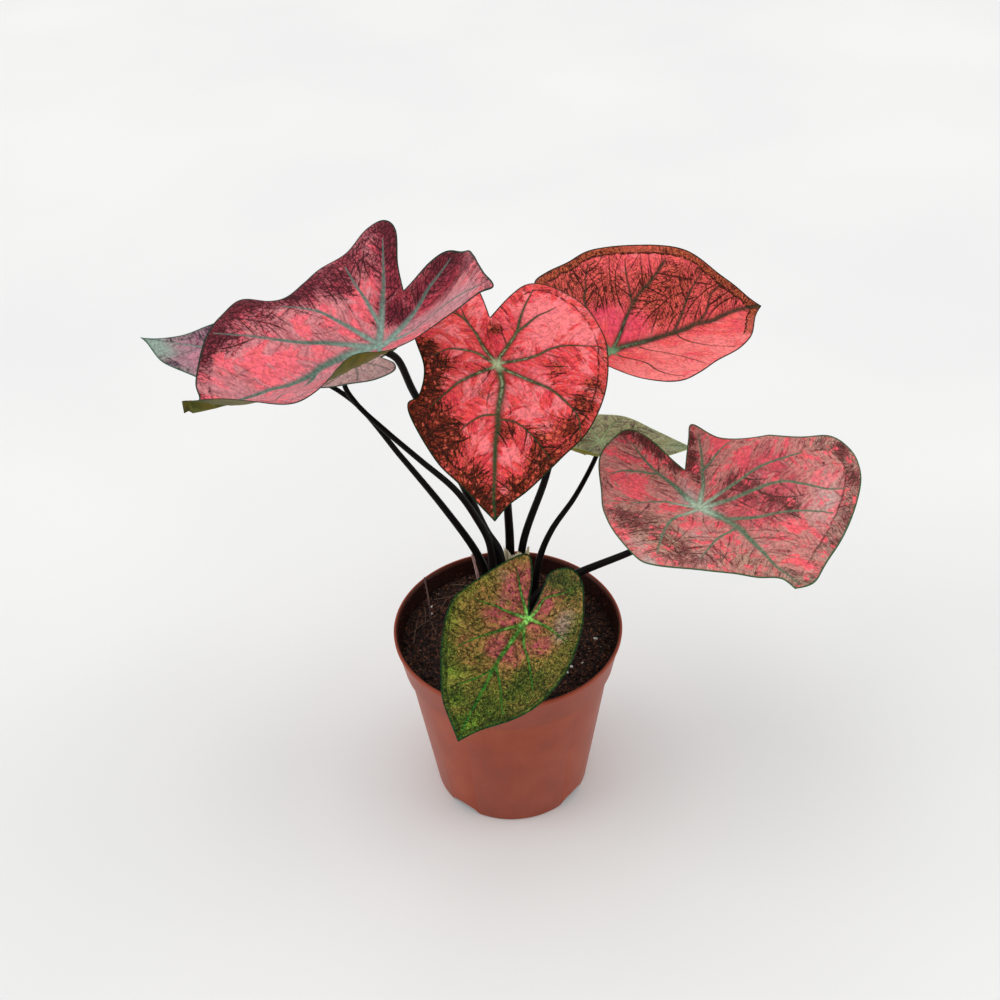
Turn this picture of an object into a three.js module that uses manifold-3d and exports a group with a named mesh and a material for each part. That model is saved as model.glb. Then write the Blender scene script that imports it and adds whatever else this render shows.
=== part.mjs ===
/**
 * Potted caladium: heart-shaped leaves on long stalks that rise from a buried tuber in a nursery pot.
 *
 * Millimetres, +Z up. The origin is the centre of the pot's flat underside, and +Y points to the back.
 * Each blade is a thin shell over a height field: u runs from the stalk's attachment to the tip,
 * v to the blade's left side, and the height stands along the blade's own normal.
 */
import * as THREE from "three";
import { mergeVertices } from "three/addons/utils/BufferGeometryUtils.js";
import Module from "manifold-3d";

const wasm = await Module();
wasm.setup();

// ---------------------------------------------------------------- driving dimensions
const GAP = 0.3; // clearance between pieces that touch
const ROUND_SIDES = 64; // facets round the pot and the soil

const POT = {
  height: 107,
  rimRadius: 60,
  baseRadius: 42,
  neckRadius: 54, // wall just under the collar
  collarRadius: 56, // collar's lower edge
  collarHeight: 21,
  collarStep: 0.8, // height of the slope that leads out to the collar
  footBevel: 1.5,
  lipHeight: 2.5, // thickened bead round the rim: its height and how far it stands out
  lipSwell: 0.8,
  lipRound: 0.4,
  wall: 1.4,
  floor: 2.4,
  notches: 4, // drainage notches round the foot
  notchBearing: 50, // degrees from +X to the first notch
  notchWidth: 19,
  notchHeight: 5,
  notchReach: 12, // radial length of each notch's cutter
};
const SOIL = {
  level: 97,
  lump: 0.8, // height of the surface's lumps
  lumpPitch: 7,
  crownRise: 1.2, // swell round the stalks
  crownSpread: 24,
  rings: [0.84, 0.66, 0.48, 0.3, 0.14], // mesh rings, as shares of the surface's radius
};
const POT_NECK = POT.height - POT.collarHeight;
const TUBER = {
  x: 1.5,
  y: 10.5,
  top: 93,
  radius: 23,
  height: 25,
  sides: 32,
  profile: [[0, 0], [0.45, 0.04], [0.82, 0.2], [1, 0.5], [0.93, 0.82], [0.74, 1], [0, 1]], // shares
};
const HOLE = { sides: 16, rise: 20 }; // the holes' cutters, and how far they rise over the soil
const BLADE_THICKNESS = 1;
const OUTLINE_STEPS = 24; // samples along each half of a blade's outline
const RINGS = [0.3, 0.58, 0.82, 1]; // mesh rings from the blade's centre out to its edge
const MESH_CENTRE_U = 6; // the mesh's centre lies a little in front of the stalk
const FOLD_SOFTNESS = 6; // half width of the rounded valley along the midrib
const CURL_START = 0.55; // a curled edge starts this far out
const STALK = {
  sides: 8,
  steps: 14,
  socket: 6.5, // straight stretch at the foot, inside the soil
  neck: 2.5, // straight stretch under the blade
  taper: 1.6, // how early the foot's thickness falls off
};

const COLOURS = {
  pot: 0xa65f4e,
  soil: 0x2b1f1b,
  tuber: 0x6b4d36,
  sheath: 0xb8ab94,
  stub: 0x9c7f74,
  stalk: 0x1d1416,
};

/**
 * The leaves. hub: where the stalk meets the blade. yaw, pitch, roll: degrees; yaw turns the midrib from
 * +X, pitch drops its tip, roll turns the blade about it. fold: valley slope; fade: how fast the valley
 * flattens towards the tip (per 100 mm); tipBend, backBend, cup and twist: curvatures (per metre).
 * left and right: edge points [u, distance from the midrib] from tip to notch. curls: turned-up edges.
 * foot: the stalk's place on the tuber. via: points that the stalk passes.
 */
const LEAVES = [
  {
    name: "upper_left", colour: 0xc24a5c,
    hub: [-51, -15, 291.3], yaw: 216, pitch: 7, roll: 3,
    fold: 0.95, fade: 0, tipBend: 2, backBend: 11, cup: -8, twist: -1,
    tip: 95.3, notch: [-23, -13],
    left: [[90, 6], [83, 20], [74, 35], [65, 42], [53, 40], [41, 37], [29, 34], [16, 30], [4, 28],
      [-6, 28], [-14, 31], [-21, 36], [-28, 42], [-32, 49], [-36, 37], [-40, 27], [-44, 18],
      [-48, 6], [-46, -5], [-37, -11]],
    right: [[86, 5], [82, 13], [66, 30], [53, 39], [40, 45], [30, 39], [22, 38], [10, 42], [-2, 46],
      [-15, 45], [-27, 46], [-35, 41], [-36, 32], [-28, 22]],
    curls: [{ side: 1, at: 32, reach: 16, rise: 9 }, { side: 1, at: 90, reach: 14, rise: 7 }],
    foot: [-3.5, 10], footRadius: 3, topRadius: 1.7,
    via: [[-3.2, 9.4, 148], [-9.6, 9.6, 163], [-19, 7, 193.5], [-29, 0, 227], [-40, -7.5, 262],
      [-45.5, -12, 282]],
  },
  {
    name: "far_left", colour: 0xc07a80,
    hub: [-115.6, 34, 258.1], yaw: 168, pitch: -4, roll: -18,
    fold: 0.25, fade: 0, tipBend: 0, backBend: 4, cup: 0, twist: 0,
    tip: 59.4, notch: [-14, 0],
    left: [[55, 3], [45, 13], [37, 17], [25, 21], [8, 27], [-10, 28], [-25, 23], [-31, 13], [-27, 5]],
    right: [[51, 1], [39, 5], [28, 12], [14, 20], [0, 26], [-16, 25], [-28, 16], [-30, 7]],
    curls: [],
    foot: [-10.5, 14], footRadius: 2.6, topRadius: 1.1,
    via: [[-10.5, 14, 130], [-15, 14, 145.5], [-29, 15, 172.5], [-50, 19, 205], [-72, 25, 235.5],
      [-97, 31, 250]],
  },
  {
    name: "lower_left", colour: 0xd07a86,
    hub: [-69, 10, 268], yaw: 175, pitch: 6, roll: -5,
    fold: 0.2, fade: 0, tipBend: 0, backBend: 3, cup: 0, twist: 0,
    tip: 48, notch: [-15, 0],
    left: [[36, 10], [22, 19], [8, 23], [-4, 21], [-15, 20], [-23, 15], [-22, 7]],
    right: [[36, 10], [22, 19], [8, 24], [-6, 25], [-18, 20], [-25, 12], [-22, 5]],
    curls: [],
    foot: [-9.5, 6.5], footRadius: 2.6, topRadius: 1.2,
    via: [[-7.5, 4, 157], [-14, 1.5, 178.5], [-23.5, -1, 198.5], [-39.5, -2.5, 218.5], [-55, -1, 235.5],
      [-67.5, 3, 248.5], [-72.5, 6.5, 258]],
  },
  {
    name: "centre", colour: 0xd8323a,
    hub: [-0.6, -6, 273.3], yaw: -91, pitch: 26, roll: -11,
    fold: 0.08, fade: 0, tipBend: -2.7, backBend: -2, cup: 0, twist: 0.4,
    tip: 72, notch: [-26, -3],
    left: [[65, 6], [58, 15], [44, 29], [31, 41], [12, 49], [-8, 51], [-21, 49], [-37, 41], [-47, 27],
      [-48, 16], [-40, 7]],
    right: [[59, 15], [49, 27], [33, 38], [24, 41], [19, 36], [6, 34], [-8, 38], [-22, 42], [-36, 40],
      [-46, 30], [-49, 19], [-44, 9]],
    curls: [],
    foot: [1, 18], footRadius: 2.9, topRadius: 1.6,
    via: [[2.5, 16, 148], [2, 12, 175], [1, 5, 220]],
  },
  {
    name: "upper_right", colour: 0xc8383c,
    hub: [56.4, 52, 240.9], yaw: 27, pitch: 4, roll: 15,
    fold: 0.8, fade: 0, tipBend: 0.8, backBend: 14, cup: -4, twist: 2,
    tip: 89.6, notch: [-20, 0],
    left: [[81, 10], [72, 19], [58, 33], [42, 40], [27, 44], [8, 47], [-7, 44], [-21, 39], [-34, 30],
      [-39, 19], [-35, 8]],
    right: [[82, 6], [67, 22], [52, 31], [36, 36], [20, 43], [5, 47], [-10, 41], [-21, 35], [-28, 26],
      [-30, 14], [-26, 6]],
    curls: [],
    foot: [8, 16.5], footRadius: 2.4, topRadius: 1.6,
    via: [[9, 16, 147], [21, 21, 185], [29, 27, 211], [44, 42, 228]],
  },
  {
    name: "right", colour: 0xc05a66,
    hub: [91, -26, 202], yaw: -64, pitch: -10, roll: 8,
    fold: 0.45, fade: 0.9, tipBend: -1, backBend: 6, cup: 1, twist: 0,
    tip: 75.5, notch: [-24, 10],
    left: [[77.2, 5], [76, 11], [69, 22], [58, 43], [46, 61], [38, 67], [30, 68], [21, 64], [12, 54],
      [-4, 42], [-22, 31], [-38, 26], [-34, 20]],
    right: [[67, 1], [60, 8], [51, 15.5], [40, 29], [32, 43], [26, 48], [10, 49], [-5, 45], [-21, 37],
      [-44, 24], [-55, 9], [-57, -1], [-47, -7]],
    curls: [],
    foot: [10, 4.5], footRadius: 2.8, topRadius: 1.5,
    via: [[12, 4, 115], [20, 3, 129], [39, -3, 145], [62.5, -11, 163.5], [79, -18, 179.5]],
  },
  {
    name: "middle_right", colour: 0x8f9a7e,
    hub: [50.4, 38, 196.3], yaw: 352, pitch: 1, roll: -8,
    fold: 0.1, fade: 0, tipBend: 0, backBend: 0, cup: 0, twist: 0,
    tip: 45.2, notch: [-10, 0],
    left: [[42, 3], [30, 12], [14, 24], [0, 26], [-12, 24], [-19, 18], [-21, 10], [-17, 3]],
    right: [[43, 4], [31, 14], [16, 23], [0, 26], [-12, 25], [-20, 18], [-21, 10], [-17, 3]],
    curls: [{ side: -1, at: -10, reach: 14, rise: 7 }],
    foot: [13.5, 11.5], footRadius: 2.5, topRadius: 1.2,
    via: [[17, 12.5, 138.5], [24, 14, 158.5], [36, 20, 174.5], [45.5, 31, 186]],
  },
  {
    name: "front", colour: 0x5f7a3a,
    hub: [10.3, -38, 145.9], yaw: -123, pitch: 30, roll: 3,
    fold: 0.28, fade: 0, tipBend: 2, backBend: 10, cup: 1.4, twist: -0.6,
    tip: 70, notch: [-2, -1],
    left: [[61, 7], [48, 23], [36, 31], [18, 35], [-2, 32], [-15, 27], [-24, 22], [-28, 15],
      [-27.5, 8], [-24.5, 2.2], [-21, 0.9], [-14, 0.4], [-7, -0.2]],
    right: [[56, 16], [44, 24], [26, 33], [7, 37], [-9, 30], [-22, 20], [-28, 11], [-18, 6], [-9, 4]],
    curls: [],
    foot: [2.5, 3], footRadius: 2.6, topRadius: 1.4,
    via: [[3, 2, 108], [6, -7, 125]],
  },
];

// The papery scale leaf round two of the stalks: an open cone, its centre and radius at foot and top.
const SHEATH = {
  foot: [4.5, 19, SOIL.level + 1.6], top: [6, 15.5, 149], footRadius: 7.3, topRadius: 6,
  thickness: 0.8, from: 175, to: 365, ragged: 5, arcSteps: 12, rows: 6,
};
// Dried stubs of old stalks: foot and top of each.
const STUB = { taper: 0.35, sides: 6, steps: 5 };
const STUBS = [
  { foot: [-14.5, 28, 90], top: [-17.5, 29.5, 131], radius: 1 },
  { foot: [-41.5, 18, 90], top: [-43, 18, 126], radius: 0.8 },
];

// ---------------------------------------------------------------- solids and booleans
/** A lathe turned about +Z from [radius, z] pairs. */
function lathe(profile, sides = ROUND_SIDES) {
  const points = profile.map(([r, z]) => new THREE.Vector2(r, z));
  return new THREE.LatheGeometry(points, sides).rotateX(Math.PI / 2);
}

/** The same surface with shared corners, and without the flat triangles that a lathe leaves on its axis. */
function welded(geometry) {
  geometry.deleteAttribute("normal");
  geometry.deleteAttribute("uv");
  const merged = mergeVertices(geometry, 1e-4);
  const index = merged.index.array;
  const kept = [];
  for (let i = 0; i < index.length; i += 3) {
    const [a, b, c] = [index[i], index[i + 1], index[i + 2]];
    if (a !== b && b !== c && c !== a) kept.push(a, b, c);
  }
  merged.setIndex(kept);
  return merged;
}

function toManifold(geometry) {
  const mesh = welded(geometry);
  return new wasm.Manifold(new wasm.Mesh({
    numProp: 3,
    vertProperties: new Float32Array(mesh.attributes.position.array),
    triVerts: new Uint32Array(mesh.index.array),
  }));
}

function fromManifold(solid) {
  const mesh = solid.getMesh();
  const geometry = new THREE.BufferGeometry();
  geometry.setAttribute("position", new THREE.Float32BufferAttribute(mesh.vertProperties, 3));
  geometry.setIndex(new THREE.Uint32BufferAttribute(mesh.triVerts, 1));
  return geometry;
}

function surface(positions, index) {
  const geometry = new THREE.BufferGeometry();
  geometry.setAttribute("position", new THREE.Float32BufferAttribute(positions, 3));
  geometry.setIndex(index);
  return geometry;
}

// ---------------------------------------------------------------- pot, soil, tuber
function potGeometry() {
  const { height, rimRadius, baseRadius, neckRadius, collarRadius, wall, floor } = POT;
  const { collarStep, footBevel, lipHeight, lipSwell, lipRound } = POT;
  const lip = height - lipHeight;
  const body = toManifold(lathe([
    [0, 0], [baseRadius - footBevel, 0], [baseRadius, footBevel], [neckRadius, POT_NECK],
    [collarRadius, POT_NECK + collarStep], [rimRadius - lipSwell, lip], [rimRadius, lip + lipSwell],
    [rimRadius, height - lipRound], [rimRadius - lipRound, height], [rimRadius - wall, height],
    [rimRadius - lipSwell - wall, lip], [collarRadius - wall, POT_NECK + wall + collarStep],
    [neckRadius - wall, POT_NECK - wall + collarStep], [baseRadius - wall, floor], [0, floor],
  ]));
  // Drainage notches: short radial cylinders, flattened, that bite the corner of wall and floor.
  const cutters = [];
  for (let i = 0; i < POT.notches; i++) {
    const angle = THREE.MathUtils.degToRad(POT.notchBearing + (360 / POT.notches) * i);
    const radius = POT.notchWidth / 2;
    const cutter = new THREE.CylinderGeometry(radius, radius, POT.notchReach, 20);
    cutter.scale(1, 1, POT.notchHeight / radius);
    cutter.translate(0, baseRadius, 0);
    cutter.rotateZ(angle);
    cutters.push(toManifold(cutter));
  }
  return fromManifold(cutters.reduce((pot, cutter) => pot.subtract(cutter), body));
}

/** The tuber: a squat round corm with a flat crown, grown by a margin for the hole it sits in. */
function tuberGeometry(margin = 0) {
  const { x, y, top, height, radius, sides, profile } = TUBER;
  const points = profile.map(([out, up]) => [
    out * (radius + margin), THREE.MathUtils.lerp(top - height - margin, top + margin, up),
  ]);
  return lathe(points, sides).translate(x, y, 0);
}

/** A plain round hole from a depth up through the soil's surface. */
function holeAt([x, y], radius, bottom) {
  const top = SOIL.level + HOLE.rise;
  const cylinder = new THREE.CylinderGeometry(radius, radius, top - bottom, HOLE.sides);
  return toManifold(cylinder.rotateX(Math.PI / 2).translate(x, y, (top + bottom) / 2));
}

/** Height of the soil's surface: low lumps, and a slight rise round the stalks. */
function soilHeight(x, y) {
  const lumps = Math.sin(x / SOIL.lumpPitch) * Math.cos(y / SOIL.lumpPitch + 0.6);
  const distance = Math.hypot(x - TUBER.x, y - TUBER.y) / SOIL.crownSpread;
  return SOIL.level + SOIL.lump * lumps + SOIL.crownRise * Math.exp(-distance * distance);
}

function soilGeometry() {
  const { height, rimRadius, baseRadius, neckRadius, collarRadius, collarStep, wall, floor } = POT;
  const inset = wall + GAP;
  const shoulder = POT_NECK + inset + collarStep;
  const collarSlope = (rimRadius - POT.lipSwell - collarRadius) / (height - POT.lipHeight - shoulder);
  const edge = collarRadius - inset + (SOIL.level - SOIL.lump * 2 - shoulder) * collarSlope;
  const bulk = lathe([
    [0, floor + GAP], [baseRadius - inset, floor + GAP], [neckRadius - inset, POT_NECK - inset + collarStep],
    [collarRadius - inset, shoulder], [edge, SOIL.level - SOIL.lump * 2],
    ...SOIL.rings.map((share) => [edge * share, SOIL.level]), [0, SOIL.level],
  ]);
  const position = bulk.attributes.position;
  for (let i = 0; i < position.count; i++) {
    if (position.getZ(i) < SOIL.level) continue;
    position.setZ(i, soilHeight(position.getX(i), position.getY(i)));
  }
  const holes = [toManifold(tuberGeometry(GAP))];
  for (const leaf of LEAVES) holes.push(holeAt(leaf.foot, leaf.footRadius + GAP, TUBER.top));
  for (const stub of STUBS) holes.push(holeAt(stub.foot, stub.radius + 2 * GAP, stub.foot[2] - GAP));
  return fromManifold(holes.reduce((soil, hole) => soil.subtract(hole), toManifold(bulk)));
}

// ---------------------------------------------------------------- leaves
/** The blade's own axes: u along the midrib, v to its left, n out of its upper face. */
function bladeAxes(leaf) {
  const [yaw, pitch, roll] = [leaf.yaw, leaf.pitch, leaf.roll].map(THREE.MathUtils.degToRad);
  const u = new THREE.Vector3(Math.cos(yaw) * Math.cos(pitch), Math.sin(yaw) * Math.cos(pitch),
    -Math.sin(pitch));
  const level = new THREE.Vector3(-Math.sin(yaw), Math.cos(yaw), 0);
  const v = level.clone().applyAxisAngle(u, roll);
  return { u, v, n: new THREE.Vector3().crossVectors(u, v) };
}

/** Height of the blade's upper face over its plane; share runs from 0 at the centre to 1 at the edge. */
function bladeHeight(leaf, u, v, share) {
  const valley = Math.hypot(v, FOLD_SOFTNESS) - FOLD_SOFTNESS;
  const fold = (leaf.fold - (leaf.fade * Math.max(u, 0)) / 100) * valley;
  const bend = ((u > 0 ? leaf.tipBend : leaf.backBend) * u * u) / 1000;
  const cup = (leaf.cup * v * v + leaf.twist * u * v) / 1000;
  const edge = Math.max(0, (share - CURL_START) / (1 - CURL_START)) ** 2;
  let curl = 0;
  for (const { side, at, reach, rise } of leaf.curls) {
    if (Math.sign(v) === side) curl += rise * edge * Math.exp(-(((u - at) / reach) ** 2));
  }
  return fold + bend + cup + curl;
}

/** Edge of the blade as a closed loop of [u, v]: tip, left side, notch, right side. */
function bladeOutline(leaf) {
  const half = (points, side) => {
    const ends = [[leaf.tip, 0], ...points.map(([u, v]) => [u, v * side]), leaf.notch];
    const curve = new THREE.SplineCurve(ends.map(([u, v]) => new THREE.Vector2(u, v)));
    curve.arcLengthDivisions = 400;
    return curve.getSpacedPoints(OUTLINE_STEPS);
  };
  const left = half(leaf.left, 1);
  const right = half(leaf.right, -1).reverse();
  return [...left.slice(0, -1), ...right.slice(0, -1)];
}

function bladeGeometry(leaf) {
  const { u, v, n } = bladeAxes(leaf);
  const outline = bladeOutline(leaf);
  const count = outline.length;
  const centre = new THREE.Vector2(MESH_CENTRE_U, 0);
  const flat = [[centre, 0]];
  for (const share of RINGS) {
    for (const edge of outline) flat.push([centre.clone().lerp(edge, share), share]);
  }
  const positions = [];
  for (const drop of [0, BLADE_THICKNESS]) {
    for (const [point, share] of flat) {
      const height = bladeHeight(leaf, point.x, point.y, share) - drop;
      const place = new THREE.Vector3(...leaf.hub).addScaledVector(u, point.x)
        .addScaledVector(v, point.y).addScaledVector(n, height);
      positions.push(place.x, place.y, place.z);
    }
  }
  const index = [];
  const under = flat.length;
  const bothFaces = (a, b, c) => index.push(a, b, c, under + a, under + c, under + b);
  for (let i = 0; i < count; i++) {
    const next = (i + 1) % count;
    bothFaces(0, 1 + i, 1 + next);
    for (let ring = 1; ring < RINGS.length; ring++) {
      const inner = 1 + (ring - 1) * count;
      const outer = 1 + ring * count;
      bothFaces(inner + i, outer + i, outer + next);
      bothFaces(inner + i, outer + next, inner + next);
    }
    const rim = 1 + (RINGS.length - 1) * count;
    index.push(rim + i, under + rim + i, under + rim + next);
    index.push(rim + i, under + rim + next, rim + next);
  }
  return surface(positions, index);
}

/** A tapered round stem along a curve, closed at both ends. */
function stemGeometry(points, radiusAt, steps, sides) {
  const curve = new THREE.CatmullRomCurve3(points.map((p) => new THREE.Vector3(...p)));
  const frames = curve.computeFrenetFrames(steps, false);
  const positions = [];
  const index = [];
  for (let i = 0; i <= steps; i++) {
    const centre = curve.getPointAt(i / steps);
    for (let j = 0; j < sides; j++) {
      const angle = (j / sides) * 2 * Math.PI;
      const place = centre.clone()
        .addScaledVector(frames.normals[i], Math.cos(angle) * radiusAt(i / steps))
        .addScaledVector(frames.binormals[i], Math.sin(angle) * radiusAt(i / steps));
      positions.push(place.x, place.y, place.z);
    }
  }
  for (let j = 0; j < sides; j++) {
    const next = (j + 1) % sides;
    for (let i = 0; i < steps; i++) {
      const [low, high] = [i * sides, (i + 1) * sides];
      index.push(low + j, low + next, high + next, low + j, high + next, high + j);
    }
    if (j > 0 && next > 0) {
      index.push(0, next, j);
      index.push(steps * sides, steps * sides + j, steps * sides + next);
    }
  }
  return surface(positions, index);
}

/** A leaf's stalk: straight up out of the tuber, along its arc, and square onto the blade's underside. */
function stalkGeometry(leaf) {
  const { n } = bladeAxes(leaf);
  const below = (distance) => new THREE.Vector3(...leaf.hub).addScaledVector(n, -distance).toArray();
  const socket = [0, 0.5, 1].map((share) => [...leaf.foot, TUBER.top + GAP + share * STALK.socket]);
  const points = [...socket, ...leaf.via, below(STALK.neck), below(BLADE_THICKNESS + GAP)];
  const { footRadius, topRadius } = leaf;
  const taper = (share) => topRadius + (footRadius - topRadius) * (1 - share) ** STALK.taper;
  return stemGeometry(points, taper, STALK.steps, STALK.sides);
}

// ---------------------------------------------------------------- sheath and stubs
function sheathGeometry() {
  const { foot, top, footRadius, topRadius, thickness, from, to, ragged, arcSteps, rows } = SHEATH;
  const positions = [];
  for (const offset of [0, thickness]) {
    for (let row = 0; row <= rows; row++) {
      for (let step = 0; step <= arcSteps; step++) {
        const angle = THREE.MathUtils.degToRad(from + ((to - from) * step) / arcSteps);
        const tear = ragged * (0.5 + 0.5 * Math.sin(step * 1.7));
        const share = (row / rows) * (1 - tear / (top[2] - foot[2]));
        const radius = THREE.MathUtils.lerp(footRadius, topRadius, share) + offset;
        positions.push(THREE.MathUtils.lerp(foot[0], top[0], share) + radius * Math.cos(angle),
          THREE.MathUtils.lerp(foot[1], top[1], share) + radius * Math.sin(angle),
          THREE.MathUtils.lerp(foot[2], top[2], share));
      }
    }
  }
  const columns = arcSteps + 1;
  const layer = columns * (rows + 1);
  const index = [];
  const quad = (a, b, c, d) => index.push(a, b, c, a, c, d);
  for (let row = 0; row < rows; row++) {
    const [low, high] = [row * columns, (row + 1) * columns];
    for (let step = 0; step < arcSteps; step++) {
      quad(low + step, high + step, high + step + 1, low + step + 1);
      quad(layer + low + step, layer + low + step + 1, layer + high + step + 1, layer + high + step);
    }
    quad(low, layer + low, layer + high, high);
    quad(low + arcSteps, high + arcSteps, layer + high + arcSteps, layer + low + arcSteps);
  }
  const last = rows * columns;
  for (let step = 0; step < arcSteps; step++) {
    quad(step, step + 1, layer + step + 1, layer + step);
    quad(last + step, layer + last + step, layer + last + step + 1, last + step + 1);
  }
  return surface(positions, index);
}

function stubGeometry({ foot, top, radius }) {
  const middle = [foot[0], foot[1], (foot[2] + top[2]) / 2];
  const taper = (share) => radius * (1 - STUB.taper * share);
  return stemGeometry([foot, middle, top], taper, STUB.steps, STUB.sides);
}

// ---------------------------------------------------------------- the plant
function piece(name, geometry, colour, roughness = 0.6) {
  const finished = welded(geometry);
  finished.computeVertexNormals();
  const finish = new THREE.MeshStandardMaterial({ color: colour, roughness, metalness: 0 });
  const mesh = new THREE.Mesh(finished, finish);
  mesh.name = name;
  return mesh;
}

const plant = new THREE.Group();
plant.add(piece("pot", potGeometry(), COLOURS.pot, 0.45));
plant.add(piece("soil", soilGeometry(), COLOURS.soil, 0.95));
plant.add(piece("tuber", tuberGeometry(), COLOURS.tuber, 0.9));
plant.add(piece("crown_sheath", sheathGeometry(), COLOURS.sheath, 0.9));
STUBS.forEach((stub, i) => plant.add(piece(`old_stalk_${i + 1}`, stubGeometry(stub), COLOURS.stub, 0.8)));
for (const leaf of LEAVES) {
  plant.add(piece(`blade_${leaf.name}`, bladeGeometry(leaf), leaf.colour, 0.55));
  plant.add(piece(`stalk_${leaf.name}`, stalkGeometry(leaf), COLOURS.stalk, 0.4));
}

export default plant;
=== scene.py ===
"""Potted caladium, dressed: veined leaf blades, dark stalks, papery crown scale, potting mix and nursery pot.

Sizes are millimetres in the plant's own frame: the origin is the centre of the pot's underside, +Z is up
and +Y points to the back. Meshes are turned to metres when they become objects.
"""

import logging
import math
import random
from collections.abc import Sequence
from dataclasses import dataclass, field, replace
from enum import Enum

import bmesh
import bpy
import numpy as np
from bpy.types import Material, Mesh, Node, NodeSocket, NodeTree, Object
from mathutils import Matrix, Vector, noise
from mathutils.geometry import delaunay_2d_cdt
from mathutils.kdtree import KDTree


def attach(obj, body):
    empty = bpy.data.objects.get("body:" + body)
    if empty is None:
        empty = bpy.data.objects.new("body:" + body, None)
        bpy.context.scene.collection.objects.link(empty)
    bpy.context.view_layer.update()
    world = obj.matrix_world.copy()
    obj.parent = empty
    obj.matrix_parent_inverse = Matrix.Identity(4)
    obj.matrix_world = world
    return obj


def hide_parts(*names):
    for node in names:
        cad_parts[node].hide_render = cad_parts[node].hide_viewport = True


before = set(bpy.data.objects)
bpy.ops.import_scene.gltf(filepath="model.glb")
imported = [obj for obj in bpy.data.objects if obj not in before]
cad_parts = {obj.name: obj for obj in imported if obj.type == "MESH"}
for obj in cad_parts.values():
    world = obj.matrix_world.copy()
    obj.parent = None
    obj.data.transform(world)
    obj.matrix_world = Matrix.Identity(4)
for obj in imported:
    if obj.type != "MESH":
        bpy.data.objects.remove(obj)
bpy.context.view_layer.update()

logging.basicConfig(level=logging.INFO, format="%(message)s")
LOG = logging.getLogger("caladium")

MM = 0.001
TURN = 6.2832  # a full turn in radians, as random bearings are drawn
MIX_A, MIX_B, MIX_RESULT = 6, 7, 2  # the colour sockets of a Mix node
Point = tuple[float, ...]
Line = tuple[np.ndarray, np.ndarray]  # samples of a vein, and its half width at each


def linear(code: str) -> tuple[float, float, float, float]:
    """Turn an sRGB hex colour into a linear one.

    Args:
        code: Six hex digits, such as "a65f4e".

    Returns:
        Red, green, blue and an alpha of 1.
    """
    channels = [int(code[i:i + 2], 16) / 255 for i in (0, 2, 4)]
    red, green, blue = (c / 12.92 if c <= 0.04045 else ((c + 0.055) / 1.055) ** 2.4 for c in channels)
    return red, green, blue, 1.0


def add(tree: NodeTree, kind: str, links: dict | None = None, out: int | str = 0,
        into: NodeSocket | None = None, stops: Sequence[tuple[float, str]] = (),
        **settings: object) -> NodeSocket:
    """Add one shader node with its settings and links.

    Args:
        tree: Node tree that receives the node.
        kind: Node type without its "ShaderNode" prefix.
        links: Input name or index, to the socket or plain value that feeds it.
        out: Output that is handed back.
        into: Socket of the shader that the output feeds.
        stops: Places and hex colours of a colour ramp.
        **settings: Attributes of the node.

    Returns:
        The wanted output socket.
    """
    node = tree.nodes.new("ShaderNode" + kind)
    for name, value in settings.items():
        setattr(node, name, value)
    for index, (place, code) in enumerate(stops):
        if index >= len(node.color_ramp.elements):
            node.color_ramp.elements.new(place)
        node.color_ramp.elements[index].position = place
        node.color_ramp.elements[index].color = linear(code)
    for name, source in (links or {}).items():
        if isinstance(source, NodeSocket):
            tree.links.new(source, node.inputs[name])
        else:
            node.inputs[name].default_value = source
    if into is not None:
        tree.links.new(node.outputs[out], into)
    return node.outputs[out]


def new_material(name: str, roughness: float, ior: float, gloss: float = 0.5
                 ) -> tuple[Material, NodeTree, Node]:
    """Make a material that holds one Principled shader.

    Args:
        name: Name of the real material and its surface.
        roughness: How broad its shine is.
        ior: Its index of refraction.
        gloss: How much it reflects face on; 0.5 is a clean, polished face.

    Returns:
        The material, its tree and its shader.
    """
    material = bpy.data.materials.new(name)
    material.use_nodes = True
    tree = material.node_tree
    tree.nodes.clear()
    shader = tree.nodes.new("ShaderNodeBsdfPrincipled")
    for socket, amount in (("Roughness", roughness), ("IOR", ior), ("Specular IOR Level", gloss)):
        shader.inputs[socket].default_value = amount
    output = tree.nodes.new("ShaderNodeOutputMaterial")
    tree.links.new(shader.outputs[0], output.inputs[0])
    return material, tree, shader


# ---------------- curves and meshes
def spline(points: Sequence[Point], steps: int = 12) -> np.ndarray:
    """Uniform Catmull-Rom curve with doubled ends.

    Args:
        points: Points that the curve passes.
        steps: Samples on each span.

    Returns:
        Samples from the first point to the last.
    """
    p = np.array([points[0], *points, points[-1]], float)
    t = np.arange(steps)[:, None] / steps
    spans = [0.5 * (2 * b + (c - a) * t + (2 * a - 5 * b + 4 * c - d) * t ** 2
                    + (3 * b - a - 3 * c + d) * t ** 3)
             for a, b, c, d in zip(p[:-3], p[1:-2], p[2:-1], p[3:])]
    return np.vstack([*spans, p[-1:]])


def evenly(curve: np.ndarray, step: float) -> np.ndarray:
    """Resample a polyline at even distances.

    Args:
        curve: Points of the line.
        step: Distance that the samples come close to.

    Returns:
        Samples from its first point to its last.
    """
    length = np.concatenate([[0], np.cumsum(np.linalg.norm(np.diff(curve, axis=0), axis=1))])
    places = np.linspace(0, length[-1], max(3, round(length[-1] / step)) + 1)
    return np.stack([np.interp(places, length, axis) for axis in curve.T], axis=1)


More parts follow.
